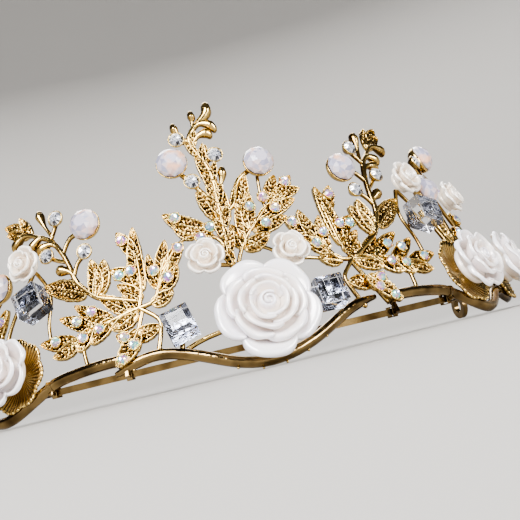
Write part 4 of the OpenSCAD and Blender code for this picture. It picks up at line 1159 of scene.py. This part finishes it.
def crystal_material(name, codes, metallic, coats):
    """Foil-backed lead glass, each facet painted with its own reflection. A coat, if any, drifts from stone
    to stone.
    """
    made, tree = start_material(name)
    spark = add(tree, "ShaderNodeAttribute", {}, "Fac", attribute_name="spark")
    facets = stepped_colours(tree, spark, codes)
    if coats:
        drift = add(tree, "ShaderNodeTexNoise", {**sized(tree, COAT_MM), "Detail": 0})
        spread = add(tree, "ShaderNodeMapRange", {"Value": drift, "From Min": 0.36, "From Max": 0.64})
        coat = stepped_colours(tree, spread, coats)
        layers = {FACTOR: COAT_SHARE, FIRST_COLOUR: facets, SECOND_COLOUR: coat}
        facets = add(tree, "ShaderNodeMix", layers, MIXED_COLOUR, data_type="RGBA")
    shade(tree, {"Base Color": facets, "Metallic": metallic, "Roughness": 0.07})
    shade(tree, {"Coat Weight": 1, "Coat Roughness": 0.02})
    return made


# Each facet of a clear stone is painted a grey, from near white to near black, as a painted reflection.
facet_reflection_greys = ["f4f5fa", "2f3138", "e9ecf4", "7f828b", "f6f4ee", "101115", "f4f5fa", "b4b8c3"]
foiled_crystal = crystal_material("foil_backed_crystal", facet_reflection_greys, metallic=0.4, coats=[])
# The rainbow colours are those of the real coat; which one each facet shows is a painted reflection.
coated_facet_reflections = ["e880c8", "8676e0", "8ccdf0", "93dfb8", "e9dd90", "c858b2", "f1c4e2", "668fd9", "f6f2ff"]
coats = ["93dfc4", "d978c4", "ece49a", "a98cec", "7fd0cc"]
aurora_crystal = crystal_material("aurora_coated_crystal", coated_facet_reflections, metallic=0.55, coats=coats)

# The cubes are clear moulded glass with polished faces, which ripple a little.
clear_glass, tree = start_material("clear_polished_glass")
ripple = add(tree, "ShaderNodeTexNoise", sized(tree, RIPPLE_MM))
bump = add(tree, "ShaderNodeBump", {"Height": ripple, "Distance": 0.04 * MM, "Strength": 0.4})
shade(tree, {"Base Color": colour("fbfcff"), "Normal": bump, "Roughness": 0.02})
shade(tree, {"IOR": 1.52, "Transmission Weight": 1})

# Silver foil is glued behind them. It is creased, and dull where the glue shows through it.
silver_foil, tree = start_material("silver_foil_behind_glass")
creases = add(tree, "ShaderNodeTexNoise", sized(tree, CREASE_MM))
ramp = add(tree, "ShaderNodeValToRGB", {"Fac": creases})
set_stops(ramp, [(0.4, "585c6b"), (0.62, "b8bcca")])
bump = add(tree, "ShaderNodeBump", {"Height": creases, "Distance": 0.35 * MM, "Strength": 1})
shade(tree, {"Base Color": ramp, "Normal": bump, "Metallic": 1, "Roughness": 0.14})

# Opal glass is a bluish milk. Each facet is painted a lighter or darker grey, a painted shade and
# reflection, and soft peach patches are painted light, the fire that the real stone refracts.
opal_glass, tree = start_material("milky_opal_glass")
cloud = add(tree, "ShaderNodeTexNoise", {**sized(tree, MILK_MM), "Detail": 1})
painted_fire = add(tree, "ShaderNodeMapRange", {"Value": cloud, "From Min": 0.52, "From Max": 0.7})
spark = add(tree, "ShaderNodeAttribute", {}, "Fac", attribute_name="spark")
milk_facet_shades = stepped_colours(tree, spark, ["9896a9", "b7b2bf", "cdc7cc", "a4a5b8", "c1b4b8"])
opal_colours = {FACTOR: painted_fire, FIRST_COLOUR: milk_facet_shades, SECOND_COLOUR: colour("e3b499")}
milk_with_painted_fire = add(tree, "ShaderNodeMix", opal_colours, MIXED_COLOUR, data_type="RGBA")
shade(tree, {"Base Color": milk_with_painted_fire, "Roughness": 0.14, "IOR": 1.46})
shade(tree, {"Coat Weight": 0.6, "Coat Roughness": 0.04})
shade(tree, {"Subsurface Weight": 0.12, "Subsurface Radius": FIRE_RADIUS, "Subsurface Scale": 1})
print("stone materials:", foiled_crystal.name, aurora_crystal.name, clear_glass.name, opal_glass.name)

# %% Cut stones
# A ring of points is its number of points, its radius, its height and its turn in degrees.
OPAL_CUT = [
    (10, 2.75, 0, 0), (10, 3.3, 0.65, 0), (10, 3.3, 0.85, 0),
    (10, 2.95, 1.65, 18), (10, 2.2, 2.4, 0), (10, 1.25, 2.98, 18),
]
CLEAR_CUT = [(16, 1.5, 0, 0), (16, 1.62, 0.16, 0), (8, 1.3, 0.62, 11.25), (8, 0.92, 0.98, 33.75)]
SMALL_CUT = [(8, 1.09, 0, 0), (8, 1.09, 0.12, 0), (8, 0.86, 0.52, 22.5), (8, 0.56, 0.84, 0)]
TABLE_DIP, FLAT_ANGLE = 0.1, 0.02
STONE_TURN, STONE_SEED = 11, 3.1


def cut_stone(bm, rings_of_points, matrix, seed, splits):
    """The hull of rings of points, with a number for each facet. A clear table is split into the
    wedges that the facets behind it draw on it."""
    spark = bm.faces.layers.float.get("spark") or bm.faces.layers.float.new("spark")
    points = []
    for sides, radius, height, turn in rings_of_points:
        circle = bmesh.ops.create_circle(bm, segments=sides, radius=radius)["verts"]
        turned = Matrix.Translation((0, 0, height)) @ Matrix.Rotation(math.radians(turn), 4, "Z")
        set_down(bm, circle, turned)
        bmesh.ops.delete(bm, geom=edges_of(circle), context="EDGES_FACES")
        points += circle
    bmesh.ops.convex_hull(bm, input=points, use_existing_faces=False)
    bmesh.ops.dissolve_limit(bm, angle_limit=FLAT_ANGLE, verts=points, edges=edges_of(points))
    points = [vert for vert in points if vert.is_valid]
    table = foremost(faces_of(points))
    if splits:
        middle = bmesh.ops.poke(bm, faces=[table], offset=-TABLE_DIP)
        points += middle["verts"]
        points += bmesh.ops.poke(bm, faces=middle["faces"])["verts"]
    # The spark picks the painted reflection of each facet.
    for face in faces_of(points):
        middle = face.calc_center_median()
        face[spark] = (math.sin(12.9 * middle.x + 78.2 * middle.y + 37.7 * middle.z + seed) * 437.5) % 1
    set_down(bm, points, matrix)


def stone_piece(name, cut, places, out, material):
    """The stones of one node. A place may end with a height over that of the others."""
    bm = bmesh.new()
    for k, place in enumerate(places):
        extra = place[2] if len(place) > 2 else 0
        stone_seat = seat(place[0], place[1], out + extra, STONE_TURN * k)
        cut_stone(bm, cut, stone_seat, STONE_SEED * k, splits=material != opal_glass)
    finish_piece(bm, "cut_" + name, material, [name], smooth=False)


for k, place in enumerate(OPALS):
    stone_piece(f"opal_{k + 1}", OPAL_CUT, [place], OPAL_OUT, opal_glass)
for k, place in enumerate(CLEAR_STONES):
    stone_piece(f"clear_stone_{k + 1}", CLEAR_CUT, [place], CLEAR_OUT, foiled_crystal)
for name, places in SMALL_STONES.items():
    stone_piece(name, SMALL_CUT, places, SMALL_OUT, aurora_crystal)

# %% Glass cubes
CUBE_SIDE, CUBE_DEEP, CUBE_CUT, CUBE_EDGE = 6, 5.6, 1.1, 0.11


def glass_cube(name, along, up, turn):
    """A cube with its front edges ground off at a slant, which leaves a square table."""
    bm = bmesh.new()
    block(bm, (CUBE_SIDE, CUBE_SIDE, CUBE_DEEP), (0, 0, CUBE_DEEP / 2))
    bevel(bm, list(foremost(bm.faces).edges), CUBE_CUT, 1)
    bevel(bm, list(bm.edges), CUBE_EDGE, 2)
    back = min(bm.faces, key=lambda face: face.calc_center_median().z)
    back.material_index = 1
    set_down(bm, bm.verts, seat(along, up, CUBE_OUT, turn))
    made = finish_piece(bm, "cut_" + name, clear_glass, [name], smooth=False)
    made.data.materials.append(silver_foil)


for k, (along, up, turn) in enumerate(CUBES):
    glass_cube(f"glass_cube_{k + 1}", along, up, turn)
